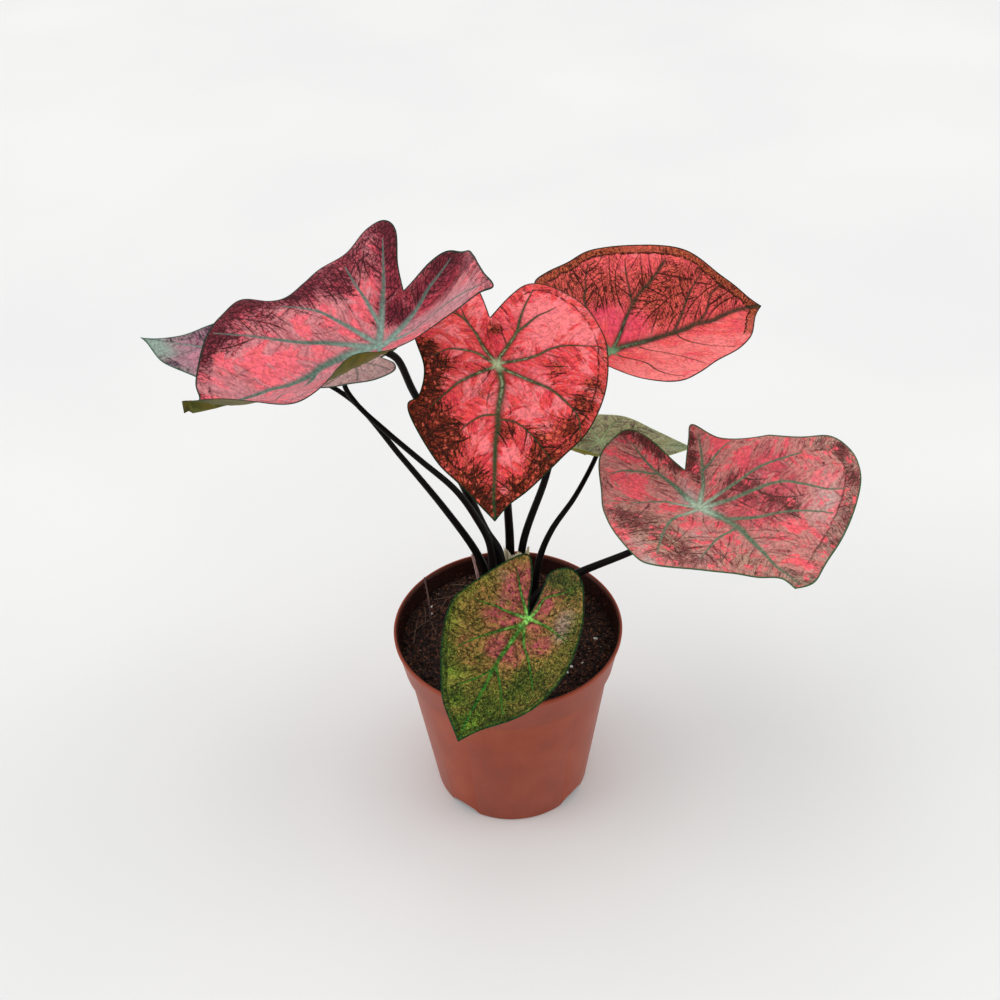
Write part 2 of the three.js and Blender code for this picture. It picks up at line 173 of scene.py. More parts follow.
def stem_curve(points: Sequence[Point], step: float) -> np.ndarray:
    """Centripetal Catmull-Rom curve, which runs through uneven points with no overshoot.

    Args:
        points: Points that the stem passes.
        step: Distance between samples.

    Returns:
        Samples from the first point to the last.
    """
    p = np.array(points, float)
    p = np.vstack([2 * p[0] - p[1], p, 2 * p[-1] - p[-2]])
    t = np.linspace(0, 1, 16, endpoint=False)[:, None]
    spans = []
    for a, b, c, d in zip(p[:-3], p[1:-2], p[2:-1], p[3:]):
        before, here, after = (math.sqrt(np.linalg.norm(q - r)) for q, r in ((b, a), (c, b), (d, c)))
        start = ((b - a) / before - (c - a) / (before + here) + (c - b) / here) * here
        end = ((c - b) / here - (d - b) / (here + after) + (d - c) / after) * here
        spans.append(b + start * t + (3 * (c - b) - 2 * start - end) * t ** 2
                     + (2 * (b - c) + start + end) * t ** 3)
    return evenly(np.vstack([*spans, p[-2:-1]]), step)


def tube(path: np.ndarray, radii: np.ndarray, sides: int) -> tuple[np.ndarray, list]:
    """Sweep a circle along a path and close its ends.

    Args:
        path: Centre line.
        radii: Radius at each of its points.
        sides: Points round the tube.

    Returns:
        Vertices and faces.
    """
    tangents = np.gradient(path, axis=0)
    tangents /= np.linalg.norm(tangents, axis=1)[:, None]
    side = np.cross(tangents[0], [0.31, 0.95, 0.2])
    turn = np.linspace(0, 2 * math.pi, sides, endpoint=False)[:, None]
    rings, faces = [], []
    for centre, tangent, radius in zip(path, tangents, radii):
        side = side - tangent * (side @ tangent)
        side /= np.linalg.norm(side)
        rings.append(centre + radius * (np.cos(turn) * side + np.sin(turn) * np.cross(tangent, side)))
    for row in range(0, (len(path) - 1) * sides, sides):
        for j in range(sides):
            k = (j + 1) % sides
            faces.append((row + j, row + k, row + sides + k, row + sides + j))
    last = (len(path) - 1) * sides
    faces += [tuple(reversed(range(sides))), tuple(range(last, last + sides))]
    return np.vstack(rings), faces


def barrel(rings: int, sides: int) -> list[tuple[int, ...]]:
    """Lay faces over stacked rings, whose ends close in two more vertices: the bottom's and the top's.

    Args:
        rings: Number of rings.
        sides: Vertices in each.

    Returns:
        The faces.
    """
    last, top = rings * sides, (rings - 1) * sides
    faces = []
    for j in range(sides):
        k = (j + 1) % sides
        faces += [(last, k, j), (last + 1, top + j, top + k)]
        faces += [(row + j, row + k, row + sides + k, row + sides + j) for row in range(0, top, sides)]
    return faces


def lathe(profile: Sequence[Point], sides: int) -> tuple[np.ndarray, list]:
    """Turn a profile that starts and ends on the axis about +Z.

    Args:
        profile: (radius, height) pairs.
        sides: Facets round the axis.

    Returns:
        Vertices and faces.
    """
    turn = np.linspace(0, 2 * math.pi, sides, endpoint=False)
    inner = profile[1:-1]
    rings = [np.stack([r * np.cos(turn), r * np.sin(turn), np.full(sides, z)], axis=1) for r, z in inner]
    vertices = np.vstack([*rings, [[0, 0, profile[0][1]], [0, 0, profile[-1][1]]]])
    return vertices, barrel(len(inner), sides)


def joined(parts: Sequence[tuple[np.ndarray, list]]) -> tuple[np.ndarray, list]:
    """Put several meshes into one.

    Args:
        parts: Vertices and faces of each.

    Returns:
        Vertices and faces of them all.
    """
    vertices, faces, start = [], [], 0
    for corners, sides in parts:
        vertices.append(corners)
        faces += [tuple(start + i for i in side) for side in sides]
        start += len(corners)
    return np.vstack(vertices), faces


def to_object(name: str, vertices: np.ndarray, faces: Sequence, *materials: Material) -> Object:
    """Make a smooth-shaded mesh object from millimetre vertices.

    Args:
        name: The piece's name.
        vertices: Corners, in millimetres.
        faces: Corner indices of each face.
        *materials: Materials for the object's slots.

    Returns:
        The linked object.
    """
    mesh = bpy.data.meshes.new(name)
    mesh.from_pydata((np.asarray(vertices) * MM).tolist(), [], faces)
    mesh.shade_smooth()
    for material in materials:
        mesh.materials.append(material)
    piece = bpy.data.objects.new(name, mesh)
    bpy.context.scene.collection.objects.link(piece)
    return piece


def bell(distance: np.ndarray, width: float) -> np.ndarray:
    """Ease from 1 at no distance to almost nothing at two widths."""
    return np.exp(-((distance / width) ** 2))


def mark(mesh: Mesh, name: str, values: np.ndarray) -> None:
    """Store a number or a vector for each vertex, for the materials to read.

    Args:
        mesh: The piece's mesh.
        name: The attribute's name.
        values: One number, or one row of three, for each vertex.
    """
    vector = values.ndim == 2
    layer = mesh.attributes.new(name, "FLOAT_VECTOR" if vector else "FLOAT", "POINT")
    layer.data.foreach_set("vector" if vector else "value", values.astype(np.float32).ravel())


def settle(piece: Object, slot: str, *nodes: str) -> Object:
    """Tie a finished piece to the plant.

    Args:
        piece: The piece, which rides on the plant's one body.
        slot: Material slot that it belongs to; not used.
        *nodes: Nodes that it stands for.

    Returns:
        The same piece.
    """
    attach(piece, "root")
    if nodes:
        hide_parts(*nodes)
    LOG.info("%s: %d faces", piece.name, len(piece.data.polygons))
    return piece


def tree_of(points: np.ndarray) -> KDTree:
    """Index flat points for nearest-point searches.

    Args:
        points: (u, v) of each point.

    Returns:
        The index, which is searched at (u, v, 0).
    """
    tree = KDTree(len(points))
    for index, (u, v) in enumerate(points):
        tree.insert((u, v, 0), index)
    tree.balance()
    return tree


def reach(points: np.ndarray, lines: Sequence[Line]) -> tuple[np.ndarray, ...]:
    """Find each point's nearest line.

    Args:
        points: Flat points.
        lines: Lines with their half widths.

    Returns:
        For each point: the distance in half widths (the smallest decides), the distance in millimetres,
        the line's number, the distance along it in millimetres, and the side (1 left, -1 right).
    """
    best = [np.full(len(points), 1e9), np.full(len(points), 1e9)] + [np.zeros(len(points)) for _ in range(3)]
    for number, (samples, widths) in enumerate(lines):
        start, step = samples[:-1], np.diff(samples, axis=0)
        length = np.linalg.norm(step, axis=1)
        offset = points[:, None] - start
        share = np.clip((offset * step).sum(2) / length ** 2, 0, 1)
        gap = np.linalg.norm(offset - share[..., None] * step, axis=2)
        nearest = gap.argmin(1)
        rows = np.arange(len(points))
        near, part = gap[rows, nearest], share[rows, nearest]
        width = widths[nearest] + (widths[nearest + 1] - widths[nearest]) * part
        along = np.concatenate([[0], np.cumsum(length)])[nearest] + part * length[nearest]
        away, heading = offset[rows, nearest], step[nearest]
        side = np.sign(heading[:, 0] * away[:, 1] - heading[:, 1] * away[:, 0])
        closer = near / width < best[0]
        for slot, value in enumerate((near / width, near, number, along, side)):
            best[slot] = np.where(closer, value, best[slot])
    return tuple(best)


def within(points: np.ndarray, edge: np.ndarray) -> np.ndarray:
    """Tell which points lie inside a closed outline, by counting how often a ray crosses it.

    Args:
        points: Flat points.
        edge: The outline's corners.

    Returns:
        True for each point inside.
    """
    a, b = edge, np.roll(edge, -1, axis=0)
    u, v = points[:, :1], points[:, 1:]
    spans = (a[:, 1] > v) != (b[:, 1] > v)
    rise = np.where(b[:, 1] == a[:, 1], 1e-9, b[:, 1] - a[:, 1])
    crossing = a[:, 0] + (v - a[:, 1]) * (b[:, 0] - a[:, 0]) / rise
    return (spans & (u < crossing)).sum(1) % 2 == 1


# ---------------- leaf finishes
class Wash(Enum):
    """Soft tints that a blade carries in places; each is an attribute of its mesh."""

    SHADE = "shade"  # dense dark netting; on the front leaf's lobe by the notch also painted shade
    LIGHT = "light"  # open tissue with hardly any netting
    PAINTED_SHEEN = "dust"  # greyish tone where the wax would shine: painted sheen
    GREEN = "green"  # green tissue that shows through
    FLUSH = "flush"  # deeper, pinker tissue


@dataclass(frozen=True)
class LivingSkin:
    """Live leaf, upper face, grown with a thin wax.

    The eye sees tissue that is open in some places and netted in others: there the dark lines along the
    finest veins widen until only flecks of colour are left between them. Blotches and streaks run out along
    the side veins, the main veins are crisp with a broken pale core, a band with its own vein follows the
    margin, and the whole has a broad, soft sheen. Greyish patches of painted sheen lie over it in places,
    in the dust colour.
    """

    colouring: str
    body: str  # tissue between the veins
    light: str  # its palest blotches
    deep: str  # its darkest patches
    net: str
    vein: str
    core: str
    band: str
    margin: str
    # greyish colour laid as painted sheen where the wax would shine
    dust: str = "c49aa2"
    green: str = "8fa07c"
    flush: str = "c4505e"
    flush_clears: float = 0.0  # how far the deeper pink tissue is free of netting
    depth: float = 0.08  # how netted the whole blade is
    shade_depth: float = 0.9
    streaks: float = 1.4
    clouds: float = 1.1
    blotch_length: float = 12.0
    blotch_width: float = 5.0
    blotch_level: float = 0.6  # lower makes more pale blotches
    blotch_edge: float = 0.12  # half the step over which a blotch fades in
    net_length: float = 3.2
    net_width: float = 1.5
    fine_cell: float = 1.2
    island: float = 1.0  # tissue between the finest veins, each island with a tint of its own
    hue_spread: float = 0.005
    deep_strength: float = 0.8
    darkest_strength: float = 0.6
    ruddiness: float = 0.35  # streaks of the flush colour all over the blade
    net_strength: float = 0.92
    net_reach: float = 0.1  # half width of its lines where they are widest, in cells
    twig_strength: float = 0.9
    fleck: str = ""  # round spots in the netting, pale unless they have a tint of their own
    fleck_cell: float = 2.8
    fleck_strength: float = 0.0
    fleck_from: float = 0.3  # how netted the tissue is where spots set in
    band_width: float = 4.0
    band_strength: float = 0.35
    band_depth: float = 0.3
    band_line: float = 0.75
    band_start: float = 30.0  # distance from the hub at which the band sets in
    margin_width: float = 0.55
    halo: float = 0.4  # tissue beside the main veins, dark unless it has a tint of its own
    halo_tint: str = ""
    vein_edge: float = 2.3  # where a main vein has faded out, in half widths
    hub_reach: float = 10.0  # how far from the hub the veins are pale
    core_strength: float = 0.6
    grain: float = 0.25
    roughness: float = 0.45
    gloss: float = 0.1  # thin wax over living cells reflects less than a polished face

    def material(self) -> Material:
        """Build the material.

        Returns:
            The material.
        """
        material, tree, shader = new_material(f"Live caladium leaf, waxed upper face, {self.colouring}",
                                              self.roughness, 1.45, self.gloss)
        value = self.fields(tree)
        mask = self.masks(tree, value)
        islands = add(tree, "TexVoronoi", {"Vector": value["plane"], "Scale": 1 / self.island}, out="Color")
        tints = [add(tree, "SeparateColor", {0: islands}, out=channel) for channel in (0, 1)]
        hue, bright = (add(tree, "MapRange", {"Value": tint, "To Min": middle - spread,
                                              "To Max": middle + spread})
                       for tint, middle, spread in zip(tints, (0.5, 1.0), (self.hue_spread, self.grain)))
        add(tree, "HueSaturation", {"Color": self.paint(tree, mask), "Hue": hue, "Value": bright},
            into=shader.inputs["Base Color"])
        skin = add(tree, "Math", {0: mask["net"], 1: -0.5, 2: value["speck"]}, operation="MULTIPLY_ADD")
        add(tree, "Bump", {"Height": skin, "Strength": 0.3, "Distance": 0.2 * MM},
            into=shader.inputs["Normal"])
        add(tree, "MapRange", {"Value": value["blotch"], "To Min": self.roughness - 0.06,
                               "To Max": self.roughness + 0.1}, into=shader.inputs["Roughness"])
        return material

    def fields(self, tree: NodeTree) -> dict[str, NodeSocket | float]:
        """Lay out the fields that the masks are cut from.

        Args:
            tree: The material's nodes.

        Returns:
            Each field by name: the mesh's own attributes, noises, cells, the band, and sums of them.
        """
        value = {name: add(tree, "Attribute", out="Fac", attribute_name=name)
                 for name in ("main_vein", "twig", "margin", "hub", *(wash.value for wash in Wash))}
        for name in ("flow", "plane"):
            value[name] = add(tree, "Attribute", out="Vector", attribute_name=name)
        wander = add(tree, "TexNoise", {"Vector": value["plane"], "Scale": 0.45, "Detail": 2.0}, out="Color")

        # Noise, in cycles per millimetre: broad blotches and thin streaks along the side veins, then clouds
        # and grain in the plane.
        for name, source, scale in (
                ("blotch", "flow", (1 / self.blotch_width, 1 / self.blotch_length, 1.0)),
                ("streak", "flow", (2.5 / self.blotch_width, 1.2 / self.blotch_length, 1.0)),
                ("cloud", "plane", (0.13, 0.13, 1.0)), ("waver", "plane", (0.2, 0.2, 1.0)),
                ("broken", "plane", (0.45, 0.45, 1.0)), ("speck", "plane", (1.3, 1.3, 1.0))):
            at = add(tree, "VectorMath", {0: value[source], 1: scale}, operation="MULTIPLY")
            value[name] = add(tree, "TexNoise", {"Vector": at, "Scale": 1.0, "Detail": 4.0, "Roughness": 0.6,
                                                 "Distortion": 0.4})
        # Cells, in millimetres: the net along the side veins, the finest veins' net, and round spots.
        for name, source, width, length, feature in (
                ("cell", "flow", self.net_width, self.net_length, "DISTANCE_TO_EDGE"),
                ("fine_cell", "plane", self.fine_cell, self.fine_cell, "DISTANCE_TO_EDGE"),
                ("fleck", "plane", self.fleck_cell, self.fleck_cell, "F1")):
            bent = add(tree, "VectorMath", {0: wander, 1: (2.2, 2.2, 0.0), 2: value[source]},
                       operation="MULTIPLY_ADD")
            at = add(tree, "VectorMath", {0: bent, 1: (1 / width, 1 / length, 1.0)}, operation="MULTIPLY")
            value[name] = add(tree, "TexVoronoi", {"Vector": at, "Scale": 1.0}, out="Distance",
                              feature=feature)

        # The margin's band is closed off by a wavering vein.
        line_at = self.band_width - 1.0
        inside = add(tree, "Math", {0: value["waver"], 1: -2.6, 2: value["margin"]}, operation="MULTIPLY_ADD")
        beside = add(tree, "Math", {0: inside, 1: line_at}, operation="SUBTRACT")
        value["line"] = add(tree, "Math", {0: beside}, operation="ABSOLUTE")
        far = add(tree, "MapRange", {"Value": value["hub"], "From Min": self.band_start,
                                     "From Max": self.band_start + 10})
        value["in_band"] = add(tree, "MapRange", {"Value": inside, "From Min": line_at + 0.4,
                                                  "From Max": line_at - 0.4, "To Max": far})

        # Sums: how netted the tissue is, how ragged the main veins are, and how pale the tissue is.
        value["depth"] = self.depth - (self.streaks + self.clouds) / 2
        value["paleness"] = 0.0
        for name, source, factor in (
                ("depth", "streak", self.streaks), ("depth", "cloud", self.clouds),
                ("depth", "shade", self.shade_depth), ("depth", "light", -0.6), ("depth", "dust", -0.35),
                ("depth", "flush", -self.flush_clears), ("depth", "in_band", self.band_depth),
                ("main_vein", "speck", 1.0),
                ("paleness", "blotch", 1.0), ("paleness", "shade", -0.1), ("paleness", "light", 0.26)):
            value[name] = add(tree, "Math", {0: value[source], 1: factor, 2: value[name]},
                              operation="MULTIPLY_ADD")
        # The net's lines widen as the tissue darkens.
        for name, thick in (("cell", self.net_reach), ("fine_cell", self.net_reach * 0.6)):
            width = add(tree, "MapRange", {"Value": value["depth"], "To Min": -0.01, "To Max": thick})
            value[name] = add(tree, "Math", {0: value[name], 1: width}, operation="SUBTRACT")
        return value

    def masks(self, tree: NodeTree, value: dict[str, NodeSocket | float]) -> dict[str, NodeSocket]:
        """Cut the fields into masks, each eased between two limits of its field.

        Args:
            tree: The material's nodes.
            value: Each field by name.

        Returns:
            Each mask by name.
        """
        mask = {}
        for name, source, start, end, strength in (
                ("pale", "paleness", self.blotch_level - self.blotch_edge,
                 self.blotch_level + self.blotch_edge, 0.9),
                ("deep", "depth", 0.3, 1.0, self.deep_strength),
                ("darkest", "depth", 0.85, 1.35, self.darkest_strength), ("netted", "depth", 0.0, 0.6, 1.0),
                ("net", "cell", 0.06, -0.02, self.net_strength),
                ("fine_net", "fine_cell", 0.08, -0.04, self.net_strength * 0.7),
                ("fleck", "fleck", 0.42, 0.28, self.fleck_strength),
                ("spotted", "depth", self.fleck_from - 0.3, self.fleck_from + 0.3, 1.0),
                ("twigs", "twig", 1.6, 0.6, self.twig_strength),
                ("band", "in_band", 0.0, 1.0, self.band_strength), ("closed", "light", 0.8, 0.1, 1.0),
                ("line", "line", 0.65, 0.2, self.band_line),
                ("distant", "hub", self.band_start, self.band_start + 10, 1.0),
                ("near", "hub", 30.0, 8.0, 1.0), ("heart", "hub", self.hub_reach, self.hub_reach * 0.2, 0.9),
                ("halo", "main_vein", 3.6, 1.4, self.halo), ("vein", "main_vein", self.vein_edge, 0.8, 0.95),
                ("core", "main_vein", 1.2, 0.6, self.core_strength),
                ("crumbled", "broken", 0.42, 0.6, 1.0), ("whole", "broken", 0.36, 0.5, 1.0),
                # dust: the patches of painted sheen
                ("dust", "dust", 0.0, 1.0, 0.85), ("green", "green", 0.0, 1.0, 0.85),
                ("flush", "flush", 0.0, 1.0, 0.85), ("mottle", "blotch", 0.28, 0.52, 1.0),
                ("ruddy", "streak", 0.47, 0.63, self.ruddiness),
                ("margin", "margin", self.margin_width * 1.7, self.margin_width * 0.5, 1.0)):
            mask[name] = add(tree, "MapRange", {"Value": value[source], "From Min": start, "From Max": end,
                                                "To Max": strength}, interpolation_type="SMOOTHSTEP")
        for name, low, high in (("shown", 0.22, 1.0), ("undimmed", 1.0, 0.8)):
            mask[name] = add(tree, "MapRange", {"Value": mask["netted"], "To Min": low, "To Max": high})
        return mask

    def paint(self, tree: NodeTree, mask: dict[str, NodeSocket]) -> NodeSocket:
        """Lay the colours over each other, each through its masks.

        Args:
            tree: The material's nodes.
            mask: Each mask by name.

        Returns:
            The colour.
        """
        colour = linear(self.body)
        for paint, *names in (
                (self.flush, "ruddy"), (self.light, "pale"), (self.flush, "flush", "mottle"),
                # the dust colour goes on as painted sheen
                (self.green, "green"), (self.dust, "dust"), (self.band, "band", "shown", "closed"),
                (self.deep, "deep"), (self.net, "darkest"), (self.net, "fine_net", "netted"),
                (self.net, "net", "shown"), (self.fleck or self.light, "fleck", "spotted", "crumbled"),
                (self.net, "twigs", "shown"), (self.net, "line", "whole", "distant", "closed"),
                (self.halo_tint or self.net, "halo"), (self.vein, "vein", "undimmed"),
                (self.core, "core", "crumbled", "near"), (self.core, "vein", "heart"),
                (self.margin, "margin")):
            amount = mask[names[0]]
            for name in names[1:]:
                amount = add(tree, "Math", {0: amount, 1: mask[name]}, operation="MULTIPLY")
            colour = add(tree, "Mix", {0: amount, MIX_A: colour, MIX_B: linear(paint)}, out=MIX_RESULT,
                         data_type="RGBA")
        return colour


@dataclass(frozen=True)
class LivingUnderside:
    """Live leaf, under face: matt, paler tissue in soft clouds, with raised pale ribs."""

    colouring: str
    tissue: str
    flush: str
    rib: str
    roughness: float = 0.6
    gloss: float = 0.2

    def material(self) -> Material:
        """Build the material.

        Returns:
            The material.
        """
        material, tree, shader = new_material(f"Live caladium leaf, matt under face, {self.colouring}",
                                              self.roughness, 1.45, self.gloss)
        plane = add(tree, "Attribute", out="Vector", attribute_name="plane")
        cloud = add(tree, "TexNoise", {"Vector": plane, "Scale": 0.12, "Detail": 6.0, "Roughness": 0.65})
        cover = add(tree, "MapRange", {"Value": cloud, "From Min": 0.4, "From Max": 0.62})
        colour = add(tree, "Mix", {0: cover, MIX_A: linear(self.tissue), MIX_B: linear(self.flush)},
                     out=MIX_RESULT, data_type="RGBA")
        for name, outer, strength in (("twig", 1.8, 0.5), ("main_vein", 1.4, 0.9)):
            vein = add(tree, "Attribute", out="Fac", attribute_name=name)
            amount = add(tree, "MapRange", {"Value": vein, "From Min": outer, "From Max": 0.5,
                                            "To Max": strength}, interpolation_type="SMOOTHSTEP")
            colour = add(tree, "Mix", {0: amount, MIX_A: colour, MIX_B: linear(self.rib)},
                         out=MIX_RESULT, data_type="RGBA")
        tree.links.new(colour, shader.inputs["Base Color"])
        fuzz = add(tree, "TexNoise", {"Vector": plane, "Scale": 1.5, "Detail": 3.0})
        add(tree, "Bump", {"Height": fuzz, "Strength": 0.25, "Distance": 0.2 * MM},
            into=shader.inputs["Normal"])
        return material


@dataclass(frozen=True)
class StalkSkin:
    """Live leaf stalk, smooth and almost black: satin shine with faint lengthwise ribs and brown flecks."""

    name: str = "Live leaf stalk, near-black satin skin"
    dark: str = "060405"
    warm: str = "1c1010"
    roughness: float = 0.42
    gloss: float = 0.09

    def material(self) -> Material:
        """Build the material.

        Returns:
            The material.
        """
        material, tree, shader = new_material(self.name, self.roughness, 1.45, self.gloss)
        plane = add(tree, "Attribute", out="Vector", attribute_name="plane")
        stretch = add(tree, "VectorMath", {0: plane, 1: (1.6, 1.6, 0.12)}, operation="MULTIPLY")
        fleck = add(tree, "TexNoise", {"Vector": stretch, "Scale": 1.0, "Detail": 5.0, "Roughness": 0.7})
        add(tree, "ValToRGB", {"Fac": fleck}, stops=((0.42, self.dark), (0.7, self.warm)),
            into=shader.inputs["Base Color"])
        add(tree, "Bump", {"Height": fleck, "Strength": 0.25, "Distance": 0.15 * MM},
            into=shader.inputs["Normal"])
        return material


# ---------------- leaves
@dataclass(frozen=True)
class Curl:
    """A turned-up stretch of a blade's edge."""

    side: int
    at: float
    reach: float
    rise: float


@dataclass(frozen=True)
class Vein:
    """A main vein: its (u, v) points from the root, and its half width at root and tip."""

    points: tuple[Point, ...]
    root: float = 0.6
    tip: float = 0.1


@dataclass(frozen=True)
class BladeForm:
    """Shape of a blade: a height field over a plane.

    u runs from the stalk's attachment to the tip and v to the blade's left. Angles are degrees; bends, cup
    and twist are curvatures per metre.
    """

    hub: Point
    yaw: float
    pitch: float
    roll: float
    tip: float
    notch: Point
    left: tuple[Point, ...]
    right: tuple[Point, ...]
    fold: float = 0.0
    fade: float = 0.0
    tip_bend: float = 0.0
    back_bend: float = 0.0
    cup: float = 0.0
    twist: float = 0.0
    curls: tuple[Curl, ...] = ()
    fold_softness: float = 6.0
    centre: float = 6.0  # u of the point that the edges' curl is measured from
    curl_start: float = 0.55

    def axes(self) -> tuple[np.ndarray, np.ndarray, np.ndarray]:
        """Work out the blade's directions.

        Returns:
            Its u, v and normal.
        """
        yaw, pitch, roll = (math.radians(angle) for angle in (self.yaw, self.pitch, self.roll))
        u = Vector((math.cos(yaw) * math.cos(pitch), math.sin(yaw) * math.cos(pitch), -math.sin(pitch)))
        v = Matrix.Rotation(roll, 3, u) @ Vector((-math.sin(yaw), math.cos(yaw), 0))
        return np.array(u), np.array(v), np.array(u.cross(v))

    def outline(self, step: float) -> np.ndarray:
        """Draw the blade's edge.

        Args:
            step: Distance between its points.

        Returns:
            A closed loop of (u, v).
        """
        halves = [evenly(spline([(self.tip, 0), *((u, side * v) for u, v in points), self.notch]), step)
                  for side, points in ((1, self.left), (-1, self.right))]
        return np.vstack([halves[0][:-1], halves[1][:0:-1]])

    def height(self, points: np.ndarray, edge: np.ndarray) -> np.ndarray:
        """Height of the upper face over the plane.

        Args:
            points: (u, v) of each point.
            edge: The blade's outline, which the curls follow.

        Returns:
            One height for each point.
        """
        u, v = points.T
        valley = np.hypot(v, self.fold_softness) - self.fold_softness
        rise = (self.fold - self.fade * np.maximum(u, 0) / 100) * valley
        rise += np.where(u > 0, self.tip_bend, self.back_bend) * u ** 2 / 1000
        rise += (self.cup * v ** 2 + self.twist * u * v) / 1000
        out = np.maximum(0, (self.share(points, edge) - self.curl_start) / (1 - self.curl_start)) ** 2
        for curl in self.curls:
            rise += np.where(np.sign(v) == curl.side, curl.rise * out * bell(u - curl.at, curl.reach), 0)
        return rise

    def share(self, points: np.ndarray, edge: np.ndarray) -> np.ndarray:
        """Tell how far out each point is.

        Args:
            points: (u, v) of each point.
            edge: The blade's outline.

        Returns:
            Distance of each point from the centre, as a share of the way to the edge.
        """
        rays = [cloud - np.array([self.centre, 0]) for cloud in (points, edge)]
        angle, edge_angle = (np.arctan2(ray[:, 1], ray[:, 0]) for ray in rays)
        radius, edge_radius = (np.hypot(*ray.T) for ray in rays)
        order = np.argsort(edge_angle)
        limit = np.interp(angle, edge_angle[order], edge_radius[order], period=2 * math.pi)
        return np.clip(radius / limit, 0, 1)

    def place(self, points: np.ndarray, height: np.ndarray) -> np.ndarray:
        """Carry blade coordinates into the plant's frame."""
        u, v, n = self.axes()
        return np.array(self.hub) + points[:, :1] * u + points[:, 1:2] * v + height[:, None] * n


@dataclass(frozen=True)
class StalkForm:
    """Route of a leaf's stalk, from its socket in the tuber to the blade's underside."""

    foot: Point
    foot_radius: float
    top_radius: float
    via: tuple[Point, ...]
    socket_bottom: float = 93.3
    socket: float = 6.5
    neck: float = 2.5
    taper: float = 1.6
    collar: float = 0.5  # how much it swells where it meets the blade
    sides: int = 20
    step: float = 1.6


